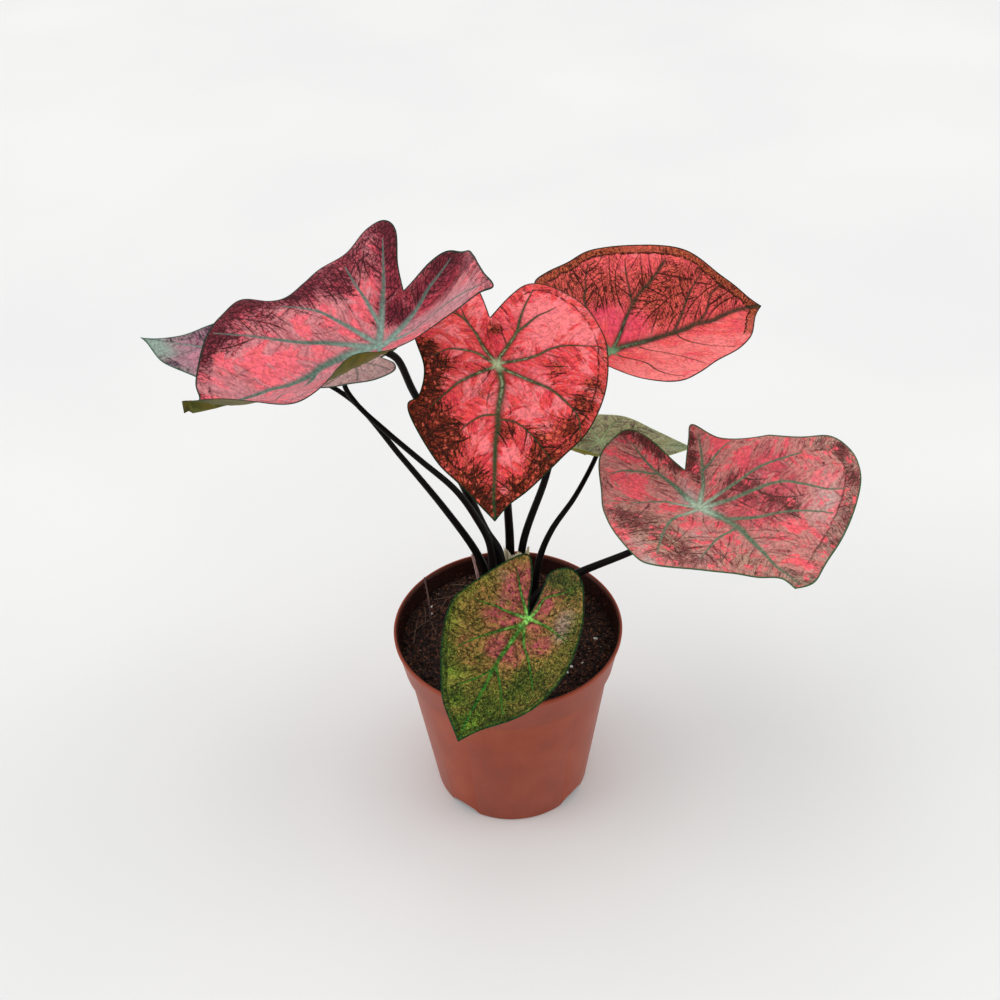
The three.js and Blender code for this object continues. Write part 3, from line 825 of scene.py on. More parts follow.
@dataclass
class Leaf:
    """One caladium leaf: its blade, with relief that follows its veins, and its stalk."""

    name: str
    form: BladeForm
    stalk: StalkForm
    skin: LivingSkin
    underside: LivingUnderside
    slot: str
    veins: tuple[Vein, ...] = ()
    washes: dict[Wash, tuple[Point, ...]] = field(default_factory=dict)  # patches (u, v, reach, amount)
    seed: int = 1
    twig_pitch: float = 8.5
    twig_angle: float = 55.0
    twig_width: float = 0.42
    vein_scale: float = 1.25
    quilt: float = 0.3  # how far the blade swells between its veins
    quilt_margin: float = 4.0  # strip along the margin where that dies out
    ripple: float = 0.35  # height and length of its soft waves
    ripple_length: float = 14.0
    sink: float = 0.35  # how deep the main veins lie in it
    rib: float = 0.5  # how far the main veins and the side veins stand out below it
    twig_rib: float = 0.12
    thickness: float = 0.6
    edge_thickness: float = 0.3
    edge_width: float = 1.5  # strip over which it thins out
    edge_step: float = 0.9
    grid: float = 1.05  # mesh spacing between the veins

    def main_lines(self) -> list[Line]:
        """Sample the main veins.

        Returns:
            The samples and half widths of each.
        """
        return [(samples, self.vein_scale * np.linspace(vein.root, vein.tip, len(samples)))
                for vein in self.veins or self.fan()
                for samples in [evenly(spline(vein.points), self.edge_step)]]

    def fan(self) -> tuple[Vein, ...]:
        """Lay out a small blade's main veins: a midrib, and side veins that fan out from the hub.

        Returns:
            The veins.
        """
        edge = self.form.outline(self.edge_step)
        angles = np.degrees(np.arctan2(edge[:, 1], edge[:, 0]))
        veins = [Vein(((0, 0), (self.form.tip * 0.5, 0.4), (self.form.tip * 0.98, 0)))]
        for angle in (-148, -108, -68, -38, 38, 68, 108, 148):
            rim = edge[np.abs(angles - angle).argmin()]
            bow = np.array([-rim[1], rim[0]]) * math.copysign(0.07, angle)
            veins.append(Vein(((0, 0), tuple(rim * 0.5 + bow), tuple(rim * 0.9)), 0.42, 0.2))
        return tuple(veins)

    def twig_lines(self, mains: list[Line], edge: np.ndarray) -> list[Line]:
        """Grow side veins off the main ones.

        Args:
            mains: Main veins.
            edge: The blade's outline.

        Returns:
            The side veins.
        """
        rng = random.Random(self.seed)
        rim = tree_of(edge)
        trees = [tree_of(samples) for samples, _ in mains]
        twigs: list[Line] = []
        for index, (samples, _) in enumerate(mains):
            slope = np.gradient(samples, axis=0)
            headings = np.arctan2(slope[:, 1], slope[:, 0])
            for side in (-1, 1):
                place = rng.uniform(3, 7)
                while place < (len(samples) - 3) * self.edge_step:
                    at = int(place / self.edge_step)
                    barriers = trees[:index] + trees[index + 1:]
                    twig = self.grow(rng, samples[at], headings[at], side, rim, barriers)
                    if len(twig) > 5:
                        twigs.append((twig, np.linspace(self.twig_width, self.twig_width * 0.5, len(twig))))
                        trees.append(tree_of(twig[2:]))
                    place += self.twig_pitch * rng.uniform(0.75, 1.3)
        return twigs

    def grow(self, rng: random.Random, start: np.ndarray, heading: float, side: int, rim: KDTree,
             barriers: list[KDTree]) -> np.ndarray:
        """Walk one side vein out from a main vein, until it nears the margin or another vein.

        Args:
            rng: The leaf's random draws.
            start: The side vein's root.
            heading: The main vein's direction there, in radians.
            side: 1 for left, -1 for right.
            rim: The blade's edge.
            barriers: The veins that stop it.

        Returns:
            The side vein's samples.
        """
        heading += side * math.radians(self.twig_angle + rng.uniform(-7, 7))
        bend = side * math.radians(rng.uniform(0.6, 2.4))
        path = [start]
        for step in range(34):
            heading -= bend + math.radians(rng.uniform(-4, 4))
            there = path[-1] + np.array([math.cos(heading), math.sin(heading)])
            spot = (*there, 0)
            if rim.find(spot)[2] < self.skin.band_width - 1:
                break
            path.append(there)
            if step > 2 and any(tree.find(spot)[2] < 1 for tree in barriers):
                break
        return np.array(path)

    def scatter(self, edge: np.ndarray, mains: list[Line], twigs: list[Line]) -> np.ndarray:
        """Place the mesh's inner points: rows along each vein, and an even grid between them.

        Args:
            edge: The blade's outline.
            mains: Main veins.
            twigs: Side veins.

        Returns:
            Points inside the outline.
        """
        rows = []
        for offsets, lines in (((0, -0.6, 0.6, -1.2, 1.2, -2.6, 2.6), mains), ((0, -1.6, 1.6), twigs)):
            for samples, widths in lines:
                along = np.gradient(samples, axis=0)
                across = np.stack([-along[:, 1], along[:, 0]], axis=1)
                across *= (widths / np.linalg.norm(across, axis=1))[:, None]
                rows += [samples + across * offset for offset in offsets]
        veins = np.vstack(rows)
        axes = [np.arange(low, high, pitch) for low, high, pitch in
                zip(edge.min(0), edge.max(0), (self.grid, self.grid * 0.87))]
        u, v = np.meshgrid(*axes)
        u[1::2] += self.grid / 2
        grid = np.stack([u.ravel(), v.ravel()], axis=1)
        grid += np.random.default_rng(self.seed).uniform(-0.18, 0.18, grid.shape)
        near = tree_of(veins)
        grid = grid[[near.find((*p, 0))[2] > 0.5 for p in grid]]
        points = np.vstack([veins, grid])
        rim = tree_of(edge)
        points = points[np.array([rim.find((*p, 0))[2] > 0.5 for p in points]) & within(points, edge)]
        _, kept = np.unique(np.round(points / 0.3), axis=0, return_index=True)
        return points[np.sort(kept)]

    def triangulate(self, edge: np.ndarray, inner: np.ndarray) -> tuple[np.ndarray, np.ndarray]:
        """Mesh the flat blade.

        Args:
            edge: The blade's outline; its points come first.
            inner: Points inside it.

        Returns:
            The points, and triangles that all turn the same way.
        """
        ring = [(i, (i + 1) % len(edge)) for i in range(len(edge))]
        cloud = [Vector(p) for p in np.vstack([edge, inner])]
        corners, _, triangles, *_ = delaunay_2d_cdt(cloud, ring, [], 1, 1e-5)
        flat, triangles = np.array([tuple(p) for p in corners]), np.array(triangles)
        a, b, c = (flat[triangles[:, k]] for k in range(3))
        ccw = (b[:, 0] - a[:, 0]) * (c[:, 1] - a[:, 1]) > (b[:, 1] - a[:, 1]) * (c[:, 0] - a[:, 0])
        return flat, np.where(ccw[:, None], triangles, triangles[:, ::-1])

    def blade(self) -> Object:
        """Build the blade: an upper and a lower face over one flat mesh, with the veins' relief.

        Returns:
            The blade.
        """
        edge = self.form.outline(self.edge_step)
        mains = self.main_lines()
        twigs = self.twig_lines(mains, edge)
        flat, triangles = self.triangulate(edge, self.scatter(edge, mains, twigs))
        (main, main_mm), (twig, twig_mm) = (reach(flat, lines)[:2] for lines in (mains, twigs))
        closed = np.vstack([edge, edge[:1]])
        margin = reach(flat, [(closed, np.ones(len(closed)))])[1]

        swell = self.quilt * (1 - bell(twig_mm, 1.7)) * (1 - bell(main_mm, 2.4))
        swell *= np.clip(margin / self.quilt_margin, 0, 1)
        length = self.ripple_length
        wave = np.array([noise.noise((u / length, v / length, self.seed)) for u, v in flat])
        groove = self.sink * bell(main, 1.3)
        rib = self.rib * bell(main, 1.6) + self.twig_rib * bell(twig, 1.8)
        thinning = np.clip(margin / self.edge_width, 0, 1)
        rim = self.edge_thickness + (self.thickness - self.edge_thickness) * thinning
        base = self.form.height(flat, edge) + self.ripple * wave
        upper = base - 0.1 - groove + swell - (self.thickness - rim) / 2
        lower = upper + groove - rim - rib

        vertices = np.vstack([self.form.place(flat, height) for height in (upper, lower)])
        count, loop = len(flat), np.arange(len(edge))
        step = np.roll(loop, -1)
        faces = [*triangles.tolist(), *(triangles[:, ::-1] + count).tolist(),
                 *np.stack([loop, loop + count, step + count, step], axis=1).tolist()]
        piece = to_object("leaf_" + self.name, vertices, faces, self.skin.material(),
                          self.underside.material())
        slots = np.zeros(len(faces), int)
        slots[len(triangles):2 * len(triangles)] = 1
        piece.data.polygons.foreach_set("material_index", slots)
        marks = {"main_vein": np.minimum(main, 6), "twig": np.minimum(twig, 6), "margin": margin,
                 **self.marks(flat, mains)}
        for name, values in marks.items():
            mark(piece.data, name, np.concatenate([values, values]))
        return settle(piece, self.slot, "blade_" + self.name)

    def marks(self, flat: np.ndarray, mains: list[Line]) -> dict[str, np.ndarray]:
        """Work out what the skin's patterns follow.

        Args:
            flat: (u, v) of each point.
            mains: Main veins.

        Returns:
            For each point: the distance from the hub, a place along the run of the side veins, a place in
            the plane, and the amount of each wash.
        """
        runs = [np.vstack([samples, samples[-1] + np.outer((10, 20, 30), samples[-1] - samples[-2])
                           / np.linalg.norm(samples[-1] - samples[-2])]) for samples, _ in mains]
        _, away, number, along, side = reach(flat, [(run, np.ones(len(run))) for run in runs])
        lean = math.radians(self.twig_angle)
        flow = np.stack([along - away / math.tan(lean), away / math.sin(lean),
                         number * 3.7 + side * 1.3], axis=1)
        plane = np.stack([*flat.T, np.full(len(flat), self.seed * 2.3)], axis=1)
        tints = {wash.value: sum((amount * np.exp(-(((flat - (u, v)) / size) ** 2).sum(1))
                                  for u, v, size, amount in self.washes.get(wash, ())), np.zeros(len(flat)))
                 for wash in Wash}
        return {"hub": np.hypot(*flat.T), "flow": flow, "plane": plane,
                **{name: np.clip(tint, 0, 1) for name, tint in tints.items()}}

    def petiole(self, material: Material) -> Object:
        """Build the stalk: up out of the tuber, along its arc, and into the blade's underside.

        Args:
            material: The stalk's finish.

        Returns:
            The stalk.
        """
        stalk, hub, normal = self.stalk, np.array(self.form.hub), self.form.axes()[2]
        socket = [(*stalk.foot, stalk.socket_bottom + share * stalk.socket) for share in (0, 0.5, 1)]
        ends = [hub - normal * stalk.neck, hub - normal * self.thickness * 1.3]
        path = stem_curve([*socket, *stalk.via, *ends], stalk.step)
        share = np.linspace(0, 1, len(path))
        radii = stalk.top_radius + (stalk.foot_radius - stalk.top_radius) * (1 - share) ** stalk.taper
        radii *= 1 + stalk.collar * bell((1 - share) * len(path), 1.2)
        vertices, faces = tube(path, radii, stalk.sides)
        piece = to_object("petiole_" + self.name, vertices, faces, material)
        turn = np.tile(np.linspace(0, 2 * math.pi, stalk.sides, endpoint=False), len(path))
        length = np.repeat(share * len(path) * stalk.step, stalk.sides)
        mark(piece.data, "plane", np.stack([2 * np.cos(turn), 2 * np.sin(turn), length], axis=1))
        return settle(piece, "stalk", "stalk_" + self.name)


# ---------------- pot
@dataclass(frozen=True)
class MouldedPot:
    """Polypropylene, injection moulded: a satin terracotta brown.

    The eye sees an even colour with the faintest flow streaks down the wall, and a broad sheen. Inside the
    rim the same plastic is painted near black: painted shade in the pot's hollow, with stain from wet peat.
    """

    name: str = "Polypropylene, injection moulded, satin terracotta brown"
    base: str = "92391c"
    light: str = "9b4426"
    dark: str = "893419"
    # near black of the inner face: painted shade, with peat stain
    shade_and_stain: str = "1c0b08"
    roughness: float = 0.4
    gloss: float = 0.28
    shade_and_stain_strength: float = 0.0
    shade_and_stain_height: float = 106.2  # solid up to here
    streak_width: float = 3.0
    streak_length: float = 50.0
    cloud: float = 20.0
    grain: float = 0.5

    def material(self) -> Material:
        """Build the material.

        Returns:
            The material.
        """
        material, tree, shader = new_material(self.name, self.roughness, 1.49, self.gloss)
        place = add(tree, "TexCoord", out="Object")
        noises = {}
        for name, size in (("streak", (self.streak_width, self.streak_width, self.streak_length)),
                           ("cloud", (self.cloud,) * 3), ("grain", (self.grain,) * 3)):
            at = add(tree, "VectorMath", {0: place, 1: tuple(1 / (s * MM) for s in size)},
                     operation="MULTIPLY")
            noises[name] = add(tree, "TexNoise", {"Vector": at, "Scale": 1.0, "Detail": 4.0,
                                                  "Roughness": 0.6})
        mixed = add(tree, "Math", {0: noises["streak"], 1: 0.4, 2: noises["cloud"]}, operation="MULTIPLY_ADD")
        colour = add(tree, "ValToRGB", {"Fac": mixed},
                     stops=((0.5, self.dark), (0.7, self.base), (0.95, self.light)))
        up = add(tree, "SeparateXYZ", {0: place}, out=2)
        # The inner face goes near black up to just under the lip: painted shade in the pot's hollow, with
        # peat stain.
        ragged = add(tree, "Math", {0: noises["cloud"], 1: 3 * MM, 2: up}, operation="MULTIPLY_ADD")
        stained = add(tree, "MapRange", {"Value": ragged, "From Min": (self.shade_and_stain_height + 1) * MM,
                                         "From Max": self.shade_and_stain_height * MM,
                                         "To Min": self.shade_and_stain_strength * 0.8, "To Max": self.shade_and_stain_strength})
        add(tree, "Mix", {0: stained, MIX_A: colour, MIX_B: linear(self.shade_and_stain)}, out=MIX_RESULT,
            into=shader.inputs["Base Color"], data_type="RGBA")
        add(tree, "Bump", {"Height": noises["grain"], "Strength": 0.1, "Distance": 0.1 * MM},
            into=shader.inputs["Normal"])
        add(tree, "MapRange", {"Value": noises["streak"], "To Min": 0.36, "To Max": 0.46},
            into=shader.inputs["Roughness"])
        return material


@dataclass
class Pot:
    """Nursery pot: one moulded shell with a deep collar, a rounded lip and drainage notches in its foot."""

    height: float = 107.0
    neck_height: float = 86.0
    rim_radius: float = 60.0
    base_radius: float = 42.0
    neck_radius: float = 54.0
    collar_radius: float = 56.0
    wall: float = 1.4
    floor: float = 2.4
    notches: int = 4
    notch_width: float = 19.0
    notch_bearing: float = 50.0  # degrees from +X to the first notch
    notch_height: float = 5.0
    notch_reach: float = 12.0
    sides: int = 256

    def profile(self) -> list[Point]:
        """Draw the wall's outline, with the mould's small steps and roundings.

        Returns:
            (radius, height) pairs from the underside up, over the rim and down to the floor.
        """
        lip, step, rounding = self.height - 2.5, self.neck_height, 0.55
        rim, collar, neck, foot = self.rim_radius, self.collar_radius, self.neck_radius, self.base_radius
        lip_edge = [(rim - rounding * (1 - math.cos(a)), self.height - rounding * (1 - math.sin(a)))
                    for a in np.radians((0, 30, 60, 90))]
        inner = rim - self.wall
        return [(0, 0.6), (foot - 6, 0.6), (foot - 5.4, 0), (foot - 1.6, 0), (foot - 0.6, 0.3), (foot, 1.4),
                (neck - 0.2, step - 1.2), (neck, step - 0.3), (neck + 0.4, step), (collar - 0.5, step + 0.5),
                (collar, step + 1.1), (rim - 0.85, lip - 0.4), (rim - 0.6, lip), (rim - 0.1, lip + 0.5),
                *lip_edge, (inner + 0.3, self.height), (inner - 0.3, self.height - 0.5), (rim - 2.2, lip),
                (collar - self.wall, step + 2.2), (neck - self.wall, step - 0.6),
                (foot - self.wall, self.floor + 1), (foot - self.wall - 1, self.floor), (0, self.floor)]

    def notch(self, number: int) -> tuple[np.ndarray, list]:
        """Build the solid that one notch is cut with: an oval bar through the foot's edge.

        Args:
            number: The notch's number, from 0.

        Returns:
            Vertices and faces.
        """
        turn = np.linspace(0, 2 * math.pi, 40, endpoint=False)
        bearing = math.radians(self.notch_bearing + 360 / self.notches * number)
        out = np.array([math.cos(bearing), math.sin(bearing), 0])
        along = np.array([-out[1], out[0], 0])
        rings = [out * (self.base_radius + offset) + np.outer(np.cos(turn) * self.notch_width / 2, along)
                 + np.outer(np.sin(turn) * self.notch_height, (0, 0, 1))
                 for offset in (-self.notch_reach / 2, self.notch_reach / 2)]
        count = len(turn)
        sides = [(j, (j + 1) % count, count + (j + 1) % count, count + j) for j in range(count)]
        return np.vstack(rings), [*sides, tuple(reversed(range(count))), tuple(range(count, 2 * count))]

    def build(self, outside: Material, inside: Material) -> Object:
        """Turn the shell, cut its notches and dress it.

        Args:
            outside: Finish of its outer face and rim.
            inside: Finish of its inner face.

        Returns:
            The pot.
        """
        piece = to_object("pot_shell", *lathe(self.profile(), self.sides), outside, inside)
        cutter = to_object("notch_cutter", *joined([self.notch(number) for number in range(self.notches)]))
        for solid in (piece, cutter):
            outwards(solid)
        cut = piece.modifiers.new("notches", "BOOLEAN")
        cut.operation, cut.solver, cut.object = "DIFFERENCE", "EXACT", cutter
        view = bpy.context.evaluated_depsgraph_get()
        mesh = bpy.data.meshes.new_from_object(piece.evaluated_get(view))
        piece.modifiers.clear()
        piece.data = mesh
        mesh.shade_smooth()
        mesh.set_sharp_from_angle(angle=math.radians(40))
        bpy.data.objects.remove(cutter)
        for face in mesh.polygons:
            inwards = face.normal.xy.dot(face.center.xy.normalized()) < -0.5
            face.material_index = int(inwards and self.floor * MM < face.center.z < (self.height - 0.2) * MM)
        return settle(piece, "pot", "pot")


def outwards(piece: Object) -> None:
    """Turn a closed mesh's faces outwards.

    Args:
        piece: The object that holds it.
    """
    mesh = bmesh.new()
    mesh.from_mesh(piece.data)
    bmesh.ops.recalc_face_normals(mesh, faces=mesh.faces)
    mesh.to_mesh(piece.data)
    mesh.free()


# ---------------- potting mix
@dataclass(frozen=True)
class Peat:
    """Peat and bark potting mix, damp and loose: dark brown crumbs with reddish bark and black peat."""

    name: str = "Peat and bark potting mix, loose crumbs"
    dark: str = "0a0605"
    brown: str = "28110b"
    bark: str = "7c4a34"

    def material(self) -> Material:
        """Build the material.

        Returns:
            The material.
        """
        material, tree, shader = new_material(self.name, 0.9, 1.4)
        place = add(tree, "TexCoord", out="Object")
        at = add(tree, "VectorMath", {0: place, 1: (1 / MM,) * 3}, operation="MULTIPLY")
        crumb = add(tree, "TexVoronoi", {"Vector": at, "Scale": 0.9, "Randomness": 1.0}, out="Color")
        grain = add(tree, "TexNoise", {"Vector": at, "Scale": 1.6, "Detail": 5.0, "Roughness": 0.75})
        tone = add(tree, "RGBToBW", {"Color": crumb})
        mixed = add(tree, "Math", {0: tone, 1: 0.5, 2: grain}, operation="MULTIPLY_ADD")
        add(tree, "ValToRGB", {"Fac": mixed}, into=shader.inputs["Base Color"],
            stops=((0.55, self.dark), (0.82, self.brown), (0.98, self.bark)))
        add(tree, "Bump", {"Height": grain, "Strength": 0.8, "Distance": 0.6 * MM},
            into=shader.inputs["Normal"])
        return material


@dataclass(frozen=True)
class Flecked:
    """A small matt material of two tones mixed by noise: perlite, straw or papery dried leaf."""

    name: str
    dark: str
    light: str
    scale: tuple[float, float, float] = (1.0, 1.0, 1.0)  # grains per millimetre along X, Y and Z
    roughness: float = 0.8

    def material(self) -> Material:
        """Build the material.

        Returns:
            The material.
        """
        material, tree, shader = new_material(self.name, self.roughness, 1.45)
        place = add(tree, "TexCoord", out="Object")
        at = add(tree, "VectorMath", {0: place, 1: tuple(s / MM for s in self.scale)}, operation="MULTIPLY")
        grain = add(tree, "TexNoise", {"Vector": at, "Scale": 1.0, "Detail": 5.0, "Roughness": 0.7})
        add(tree, "ValToRGB", {"Fac": grain}, stops=((0.35, self.dark), (0.65, self.light)),
            into=shader.inputs["Base Color"])
        add(tree, "Bump", {"Height": grain, "Strength": 0.5, "Distance": 0.25 * MM},
            into=shader.inputs["Normal"])
        return material


@dataclass
class PottingMix:
    """Soil that fills the pot: its lumpy body, loose crumbs, perlite grains and straw on top."""

    level: float = 97.0
    edge_radius: float = 56.3
    base_radius: float = 39.0
    neck_radius: float = 52.0
    neck_height: float = 85.4
    floor: float = 2.8
    crown: Point = (1.5, 10.5)
    crown_rise: float = 1.2
    crown_spread: float = 24.0
    lump: float = 0.8
    lump_pitch: float = 7.0
    rough: float = 0.75  # height and pitch of the body's own crumbs
    rough_pitch: float = 3.2
    rings: int = 62
    sides: int = 220
    crumbs: int = 3200
    bark: int = 260
    dust: int = 110
    wall_crumb_count: int = 900
    wall_crumb_top: float = 9.2  # above the soil's level
    wall_step: Point = (54.6, 88.2)  # the pot's inner face above its step: (radius, height)
    wall_spread: float = 3.2  # and how far it widens on the way up to the lip
    wall_rise: float = 16.3
    perlite: tuple[Point, ...] = ((37, 11), (40, 16), (34, -14), (38, -21), (32, -24), (30, -28), (-41, 27),
                                  (-41, 21), (-25, 38), (12, 41), (22, 34), (46, -3), (-34, -8), (-30, 6))
    fibres: tuple[Point, ...] = (  # where each starts, its bearing, and its length in whole millimetres
        (-40, 31, 0.4, 22), (-36, 24, 1.2, 16), (-28, 36, -0.3, 20), (-22, 41, 0.2, 18), (-44, 14, 1.5, 14),
        (-12, 44, -0.6, 16), (28, 30, 0.9, 15), (40, 4, 1.9, 14), (33, -20, 2.4, 13), (-38, 4, 1.8, 12),
        (18, 38, -0.2, 14), (-33, 18, 0.8, 18), (-50, 6, 1.2, 20), (-50, -2, 1.4, 18), (-30, 42, 0.1, 22))
    seed: int = 11

    def height(self, x: float, y: float) -> float:
        """Work out the height of the surface's broad form.

        Args:
            x: Place to the right.
            y: Place to the back.

        Returns:
            The height there.
        """
        lumps = math.sin(x / self.lump_pitch) * math.cos(y / self.lump_pitch + 0.6)
        away = math.hypot(x - self.crown[0], y - self.crown[1]) / self.crown_spread
        return self.level + self.lump * lumps + self.crown_rise * math.exp(-away * away)

    def body(self, material: Material) -> Object:
        """Build the soil's body: a fine, rough top on the pot's filling.

        Args:
            material: Its finish.

        Returns:
            The body.
        """
        turn = np.linspace(0, 2 * math.pi, self.sides, endpoint=False)
        filling = ((self.base_radius, self.floor), (self.neck_radius, self.neck_height),
                   (self.edge_radius - 1.0, self.level - 6))
        rows = [[(r * math.cos(t), r * math.sin(t), z) for t in turn] for r, z in filling]
        for ring in range(self.rings, 0, -1):
            r = self.edge_radius * ring / self.rings
            row = []
            for t in turn:
                x, y = r * math.cos(t), r * math.sin(t)
                rough = noise.fractal(Vector((x / self.rough_pitch, y / self.rough_pitch, 4.0)), 0.7, 2.1, 4)
                row.append((x, y, self.height(x, y) + self.rough * rough - 0.6 * (ring / self.rings) ** 12))
            rows.append(row)
        ends = [(0, 0, self.floor), (0, 0, self.height(0, 0))]
        piece = to_object("potting_mix", np.vstack([*rows, ends]), barrel(len(rows), self.sides), material)
        return settle(piece, "soil", "soil")

    def grains(self, name: str, spots: Sequence[Point], sizes: Sequence[float], rough: float, detail: int,
               material: Material, rng: random.Random) -> Object:
        """Lay irregular grains on the surface.

        Args:
            name: The piece's name.
            spots: (x, y) of each grain.
            sizes: Mean radius of each grain.
            rough: How uneven the grains are.
            detail: Subdivisions of a grain's ball.
            material: Their finish.
            rng: Random draws.

        Returns:
            The grains as one piece.
        """
        ball = bmesh.new()
        bmesh.ops.create_icosphere(ball, subdivisions=detail, radius=1)
        form = np.array([tuple(v.co) for v in ball.verts])
        sides = [tuple(v.index for v in face.verts) for face in ball.faces]
        ball.free()
        parts = []
        for (x, y), size in zip(spots, sizes):
            scale = np.array([rng.uniform(0.75, 1.5), rng.uniform(0.7, 1.2), rng.uniform(0.45, 0.9)]) * size
            dents = np.array([1 + rng.uniform(-rough, rough) for _ in form])[:, None]
            turn = np.array(Matrix.Rotation(rng.uniform(0, 6.28), 3, "Z")
                            @ Matrix.Rotation(rng.uniform(-0.5, 0.5), 3, "X"))
            lift = self.height(x, y) + size * rng.uniform(0.05, 0.5)
            parts.append(((form * dents * scale) @ turn.T + (x, y, lift), sides))
        piece = to_object(name, *joined(parts), material)
        piece.data.shade_flat()
        return settle(piece, "soil")

    def build(self) -> None:
        """Build the soil and everything that lies on it."""
        rng = random.Random(self.seed)
        self.body(Peat().material())
        for name, count, low, high in (("peat_crumbs", self.crumbs, 0.35, 1.0),
                                       ("bark_bits", self.bark, 0.9, 1.9)):
            spots = []
            for _ in range(count):
                radius, bearing = self.scatter_radius(rng), rng.uniform(0, TURN)
                spots.append((radius * math.cos(bearing), radius * math.sin(bearing)))
            sizes = [low + (high - low) * rng.random() ** 2 for _ in spots]
            self.grains(name, spots, sizes, 0.3, 1, Peat().material(), rng)
        white = Flecked("Perlite, expanded volcanic glass", "b9b2a8", "efece6", roughness=0.7)
        sizes = [rng.uniform(0.55, 1.0) for _ in self.perlite]
        self.grains("perlite", self.perlite, sizes, 0.22, 2, white.material(), rng)
        grit = Flecked("Perlite dust and sand, dry", "6c5c50", "b8aca0", roughness=0.7)
        spots = [(self.scatter_radius(rng) * math.cos(t), self.scatter_radius(rng) * math.sin(t))
                 for t in (rng.uniform(0, TURN) for _ in range(self.dust))]
        sizes = [rng.uniform(0.2, 0.42) for _ in spots]
        self.grains("perlite_dust", spots, sizes, 0.25, 1, grit.material(), rng)
        self.wall_crumbs(rng)
        self.straw(rng)

    def scatter_radius(self, rng: random.Random) -> float:
        """Draw a distance from the pot's axis so that spots spread evenly over the surface."""
        return (self.edge_radius - 1.2) * math.sqrt(rng.random())

    def wall_crumbs(self, rng: random.Random) -> Object:
        """Stick crumbs of peat to the pot's wall above the soil, more of them low down.

        Args:
            rng: Random draws.

        Returns:
            The crumbs as one piece.
        """
        # One crumb, in shares of its size: how far in from the wall, how far across, and how far up.
        form = ((0, 0, 0), (0.8, 1, 0.1), (0.9, 0.1, 1), (0.8, -1, -0.1), (0.9, 0, -1), (1.5, 0.1, 0.1))
        sides = [(0, 2, 1), (0, 3, 2), (0, 4, 3), (0, 1, 4), (5, 1, 2), (5, 2, 3), (5, 3, 4), (5, 4, 1)]
        foot, step = self.wall_step
        parts = []
        for _ in range(self.wall_crumb_count):
            turn, up = rng.uniform(0, TURN), self.level + self.wall_crumb_top * rng.random() ** 1.6
            wall = foot + (up - step) * self.wall_spread / self.wall_rise
            size, cos, sin = rng.uniform(0.25, 0.6), math.cos(turn), math.sin(turn)
            ring = [(cos * (wall - size * depth) - sin * across * size,
                     sin * (wall - size * depth) + cos * across * size, up + rise * size)
                    for depth, across, rise in form]
            parts.append((np.array(ring), sides))
        piece = to_object("wall_crumbs", *joined(parts), Peat().material())
        piece.data.shade_flat()
        return settle(piece, "soil")

    def straw(self, rng: random.Random) -> Object:
        """Lay thin straw and root fibres on the soil.

        Args:
            rng: Random draws.

        Returns:
            The fibres as one piece.
        """
        parts = []
        for x, y, heading, length in self.fibres:
            path = []
            for _ in range(length):
                path.append((x, y, self.height(x, y) + 1.0 + rng.uniform(-0.1, 0.3)))
                heading += rng.uniform(-0.13, 0.13)
                x, y = x + math.cos(heading), y + math.sin(heading)
                if math.hypot(x, y) > self.edge_radius - 1.5:
                    break
            if len(path) > 4:
                parts.append(tube(np.array(path), np.linspace(0.24, 0.12, len(path)), 6))
        dry = Flecked("Straw and root fibres, dry", "443024", "7e6450")
        return settle(to_object("straw_fibres", *joined(parts), dry.material()), "soil")


